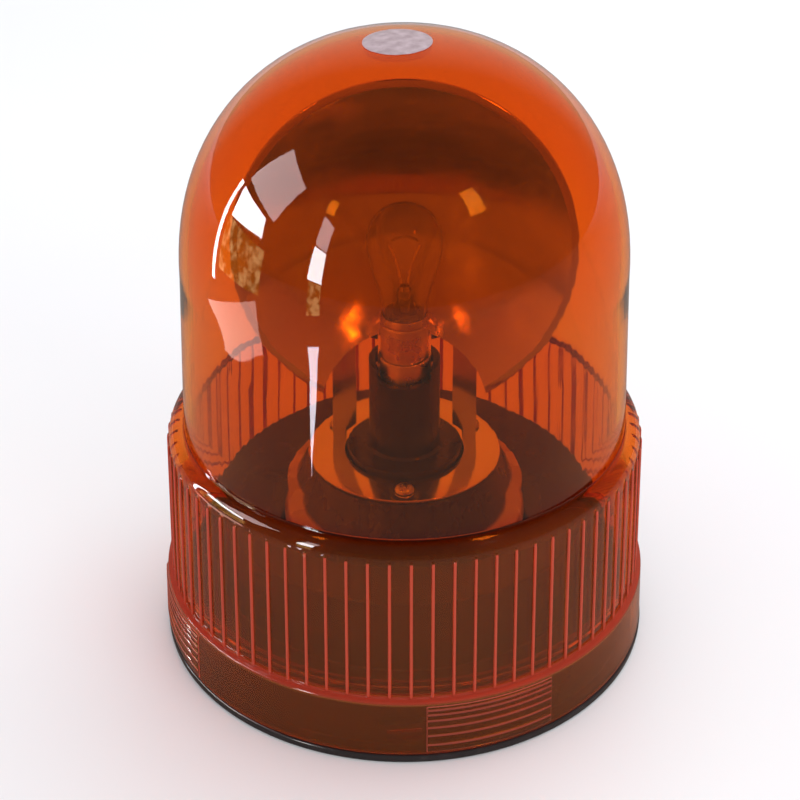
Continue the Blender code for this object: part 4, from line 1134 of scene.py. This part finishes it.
def make_tower():
    """The fixed column with its foot flange, two ears at the top and a bore for the socket."""
    flange, flange_bottom, flange_top = 18.4, 62.0, 65.5
    column, bore, wire_hole = 11.3, 8.7, 3.5
    floor_height, rebate = SOCKET_BOTTOM - 0.3, 89.8
    outline = [
        (column, TOWER_TOP), (column, flange_top + 0.9), (column + 0.8, flange_top),
        (flange, flange_top), (flange, flange_bottom), (column, flange_bottom),
        (column, TOWER_BOTTOM), (wire_hole, TOWER_BOTTOM), (wire_hole, floor_height),
        (bore, floor_height), (bore, rebate), (bore + 0.7, rebate),
        (bore + 0.7, TOWER_TOP),
    ]
    mesh = lathe(rounded(outline, 0.5, 4), 96)
    gap = block_mesh((16.8, 40.0, 12.0), (0.0, 0.0, TOWER_TOP + 0.5), bevel=2.0)
    bores = [cut(rod_mesh(1.6, 26.0, 41.0, polar(7.4, turn).xy, 20)) for turn in (90.0, 270.0)]
    mesh = apply_booleans(mesh, [cut(gap), *bores])
    piece("tower", mesh, "black_gloss_plastic", "base", "lamp_tower")


def make_socket():
    """A thin metal sleeve with the bayonet's entry slots and pockets."""
    outer = (high("lamp_socket", 0) - low("lamp_socket", 0)) / 2
    inner = outer - 0.5
    floor_top = SOCKET_BOTTOM + 0.7
    wire_hole = 3.4
    outline = [
        (outer, SOCKET_TOP), (outer, SOCKET_BOTTOM), (wire_hole, SOCKET_BOTTOM),
        (wire_hole, floor_top), (inner, floor_top), (inner, SOCKET_TOP),
    ]
    mesh = lathe(rounded(outline, 0.2, 3), 96)
    pocket = block_mesh((30.0, 2.6, 4.6), (0.0, 0.0, 92.5), bevel=0.5)
    entry = block_mesh((30.0, 2.6, 9.0), (0.0, 0.0, 94.7), turn=15.0, bevel=0.5)
    mesh = apply_booleans(mesh, [cut(pocket), cut(entry)])
    piece("socket_sleeve", mesh, "nickel_plate", "base", "lamp_socket")


def make_contact_spring():
    """The coil under the lamp's centre contact. The real coil shortens as the lamp is pushed in; this
    one keeps one length.
    """
    bottom, top, radius, wire, turns, per_turn = 72.0, 79.8, 5.6, 0.4, 4.5, 24
    count = int(turns * per_turn)
    points = []
    for i in range(count + 1):
        points.append(polar(radius, 360.0 * i / per_turn, bottom + (top - bottom) * i / count))
    mesh = wire_mesh(points, wire)
    obj = piece("contact_coil", mesh, "zinc_steel", "base", "contact_spring")
    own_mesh(obj)


def make_bulb_cap():
    """The lamp's cap with a shallow groove near its rim and its two bayonet pins."""
    radius, wall, groove = 7.55, 0.45, CAP_TOP - 2.8
    outline = [
        (radius - 0.1, CAP_TOP), (radius, CAP_TOP - 0.6), (radius, groove + 0.6),
        (radius - 0.25, groove), (radius, groove - 0.6), (radius, CAP_BOTTOM + 0.6),
        (radius - 0.6, CAP_BOTTOM), (5.0, CAP_BOTTOM), (5.0, CAP_BOTTOM + 0.5),
        (radius - wall, CAP_BOTTOM + 0.9), (radius - wall - 0.2, groove),
        (radius - wall, CAP_TOP),
    ]
    mesh = lathe(rounded(outline, 0.25, 3), 96)
    sideways = Matrix.Rotation(math.pi / 2, 4, "Y")
    pins = []
    for side in (1, -1):
        pin = rod_mesh(1.0, -0.9, 0.9, segments=24)
        pins.append(join(pin, shifted(side * 8.0, 0.0, 93.5) @ sideways))
    piece("lamp_cap", apply_booleans(mesh, pins), "nickel_plate", "bulb", "bulb_cap")


def make_bulb_glass():
    """A thin blown envelope: round top, long taper, and a neck that goes down into the cap."""
    centre = BULB_TOP - GLASS_RADIUS
    neck, wall = 6.7, 0.6
    taper_radius, taper_bottom, taper_count = neck + 0.3, CAP_TOP + 1.2, 16
    outer = [(0.0, BULB_TOP)]
    outer += arc((0.0, centre), (GLASS_RADIUS, GLASS_RADIUS), 86.0, 0.0, 18)
    for i in range(1, taper_count + 1):
        t = i / taper_count
        blend = (1 + math.cos(math.pi * t)) / 2
        radius = taper_radius + (GLASS_RADIUS - taper_radius) * blend**0.8
        outer.append((radius, centre + (taper_bottom - centre) * t))
    outer += [(neck, CAP_TOP - 0.4), (neck, low("bulb_glass"))]
    inner = [(max(radius - wall, 0.0), height) for radius, height in reversed(outer[1:])]
    inner.append((0.0, BULB_TOP - wall))
    mesh = lathe(outer + inner, 96, closed=False)
    piece("lamp_glass", mesh, "clear_glass", "bulb", "bulb_glass")


def make_bulb_stem():
    """The pressed glass stem in the neck of the bulb."""
    top, bottom = high("bulb_stem"), low("bulb_stem")
    stem = [(0.0, top), (1.4, top - 0.2), (2.1, top - 1.5), (2.3, top - 5.0), (3.4, top - 8.5)]
    stem += [(5.0, bottom + 3.0), (5.6, bottom + 1.6), (5.6, bottom), (0.0, bottom)]
    mesh = lathe(rounded(stem, 0.5, 3, closed=False), 48, closed=False)
    piece("lamp_stem", mesh, "clear_glass", "bulb", "bulb_stem")


def make_filament_post(index):
    """A support wire that rises from the stem and leans outwards."""
    side = (-1.0, 1.0)[index]
    node = f"filament_post_{index + 1}"
    name = f"lamp_post_{index + 1}"
    count, spread = 12, 3.4
    bottom = high("bulb_stem") + 0.3
    rise = high(node) - 0.2 - bottom
    points = []
    for i in range(count + 1):
        points.append((side * (1.2 + spread * (i / count) ** 1.8), 0.0, bottom + rise * i / count))
    piece(name, wire_mesh(points, 0.3), "nickel_plate", "bulb", node)


def make_filament():
    """The arched coil between the supports."""
    turns, per_turn, length, radius, arch = 13, 14, 8.4, 0.45, 1.5
    count = turns * per_turn
    middle = low("filament") + 0.8
    coil = []
    for i in range(count + 1):
        angle = 2 * math.pi * i / per_turn
        along = length * (i / count - 0.5)
        height = middle + arch * (1 - (2 * i / count - 1) ** 2)
        coil.append((along, radius * math.cos(angle), height + radius * math.sin(angle)))
    piece("lamp_coil", wire_mesh(coil, 0.13), "zinc_steel", "bulb", "filament", tungsten)


# -------------------- stage, lights and camera

WINDOW_X = -0.45
ON_FLOOR = 0.002


def softbox(name, size, power, place):
    """A soft square light aimed at the object, in metres, that only lights it."""
    target = Vector((0.0, 0.0, 0.1))
    data = bpy.data.lights.new(name, "AREA")
    data.size = size
    data.energy = power
    obj = new_object(name, data)
    obj.location = place
    obj.rotation_euler = (target - Vector(place)).to_track_quat("-Z", "Y").to_euler()
    obj.visible_camera = False
    obj.visible_glossy = False
    obj.visible_transmission = False


def make_world():
    """Even soft light, a good deal dimmer where it is mirrored or seen through the lens."""
    world = bpy.data.worlds.new("studio")
    bpy.context.scene.world = world
    world.use_nodes = True
    tree = world.node_tree
    direct = tree.nodes["Background"]
    feed(direct.inputs["Color"], (0.93, 0.95, 1.0, 1.0))
    feed(direct.inputs["Strength"], 0.8)
    direction = make_node(tree, "TexCoord").outputs["Generated"]
    behind = make_node(tree, "SeparateXYZ", {"Vector": direction}).outputs["Y"]
    mirrored = map_range(tree, behind, 0.12, 0.7, 0.7, 1.0)
    through_lens = map_range(tree, behind, 0.36, 0.85, -0.45, 0.8)
    path = make_node(tree, "LightPath").outputs
    strength = map_range(tree, path["Is Transmission Ray"], mirrored, through_lens)
    inputs = {"Color": (1.0, 0.90, 0.72, 1.0), "Strength": strength}
    dimmed = make_node(tree, "Background", inputs)
    mixed = mix_shaders(tree, path["Is Glossy Ray"], direct, dimmed)
    feed(tree.nodes["World Output"].inputs["Surface"], mixed)


def card(name, corners, material):
    """A flat card that the camera doesn't see and that lights nothing: only mirrors show it."""
    bm = bmesh.new()
    bm.faces.new([bm.verts.new(corner) for corner in corners])
    obj = finished(name, finish_mesh(bm), material)
    obj.visible_camera = False
    obj.visible_diffuse = False
    obj.visible_transmission = False
    obj.visible_shadow = False
    return obj


def window_card(name, corners, material):
    """An upright card on the left, whose corners are places along Y and up."""
    return card(name, [(WINDOW_X, y, z) for y, z in corners], material)


def floor_card(name, corners, material):
    return card(name, [(x, y, ON_FLOOR) for x, y in corners], material)


def pane(left, right, bottom, top):
    return [(left, bottom), (right, bottom), (right, top), (left, top)]


def make_window_cards():
    """What the left of the lens mirrors: a wide window, a narrow one, and sun on the floor."""
    sky = glow("sky", (0.97, 0.98, 1.0), 22.0)
    blind = glow("blind", (1.0, 0.80, 0.80), 7.0)
    leaves = glow("leaves", (0.85, 0.62, 0.25), 6.0, (0.12, 0.10, 0.02))
    sill = glow("sill", (1.0, 0.66, 0.58), 5.0)
    sunlight = glow("sunlight", (0.96, 0.90, 1.0), 16.0)
    wide_blind = [(0.056, 0.332), (-0.164, 0.306), (-0.21, 0.544), (0.027, 0.587)]
    wide_sky = [(0.04, 0.203), (-0.14, 0.23), (-0.12, 0.295), (0.05, 0.30)]
    wide_sill = [(-0.341, 0.085), (-0.60, -0.19), (-0.273, -0.12), (-0.277, 0.0)]
    sun_patch = [(-0.142, -0.172), (-0.259, -0.272), (-0.243, -0.311)]
    window_card("wide_window_blind", wide_blind, blind)
    window_card("wide_window_sky", wide_sky, sky)
    window_card("wide_window_leaves", pane(-0.17, 0.05, 0.06, 0.20), leaves)
    window_card("wide_window_edge", pane(0.07, 0.088, 0.02, 0.30), sky)
    floor_card("wide_window_sill", wide_sill, sill)
    window_card("narrow_window_blind", pane(-0.56, -0.44, 0.37, 0.55), blind)
    window_card("narrow_window_sky", pane(-0.56, -0.44, 0.19, 0.36), sky)
    window_card("narrow_window_leaves", pane(-0.56, -0.45, 0.03, 0.185), leaves)
    floor_card("sun_on_floor", sun_patch, sunlight)


def make_lamp_glints():
    """Two small lights that show only through the lens, each as a warm glint in the dish."""
    warm = glow("warm_glint", (1.0, 0.92, 0.75), 14.0)
    for name, x, y, z, half, height in (
        ("glint_right", 0.215, -0.227, 0.36, 0.020, 0.12),
        ("glint_left", -0.26, -0.27, 0.40, 0.012, 0.07),
    ):
        slant = math.copysign(half, x)
        near = (x - half, y - slant)
        far = (x + half, y + slant)
        corners = [(*near, z), (*far, z), (*far, z + height), (*near, z + height)]
        glint = card(name, corners, warm)
        glint.visible_glossy = False
        glint.visible_transmission = True


def make_stage():
    bm = bmesh.new()
    bmesh.ops.create_grid(bm, x_segments=8, y_segments=8, size=4.0)
    finished("floor", finish_mesh(bm), pale_floor)
    make_world()
    softbox("top_softbox", 1.2, 12.0, (0.3, 0.5, 1.5))
    softbox("front_softbox", 0.7, 3.0, (0.9, -0.9, 0.8))
    make_window_cards()
    make_lamp_glints()


def make_camera():
    """An 81 mm lens, 32 degrees above level, aimed two fifths of the way up the light."""
    height = CAD_BOX[1][2] - CAD_BOX[0][2]
    aim = Vector((0.0, 0.0, 0.4 * height))
    elevation = math.radians(32.17)
    distance = 2.85 * height
    data = bpy.data.cameras.new("camera")
    data.lens = 81.0
    data.shift_x = -0.0056
    camera = new_object("camera", data)
    camera.location = aim + Vector((0.0, -math.cos(elevation), math.sin(elevation))) * distance
    camera.rotation_euler = (math.pi / 2 - elevation, 0.0, 0.0)
    bpy.context.scene.camera = camera
    bpy.context.scene.view_settings.view_transform = "Standard"


# -------------------- the scene

dress_frame()
make_base()
make_seal()
make_lens()
make_sticker()
make_turntable()
make_reflector()
for number in range(3):
    make_screw(number)
make_tower()
make_socket()
make_contact_spring()
make_bulb_cap()
make_bulb_glass()
make_bulb_stem()
for number in range(2):
    make_filament_post(number)
make_filament()
make_stage()
make_camera()
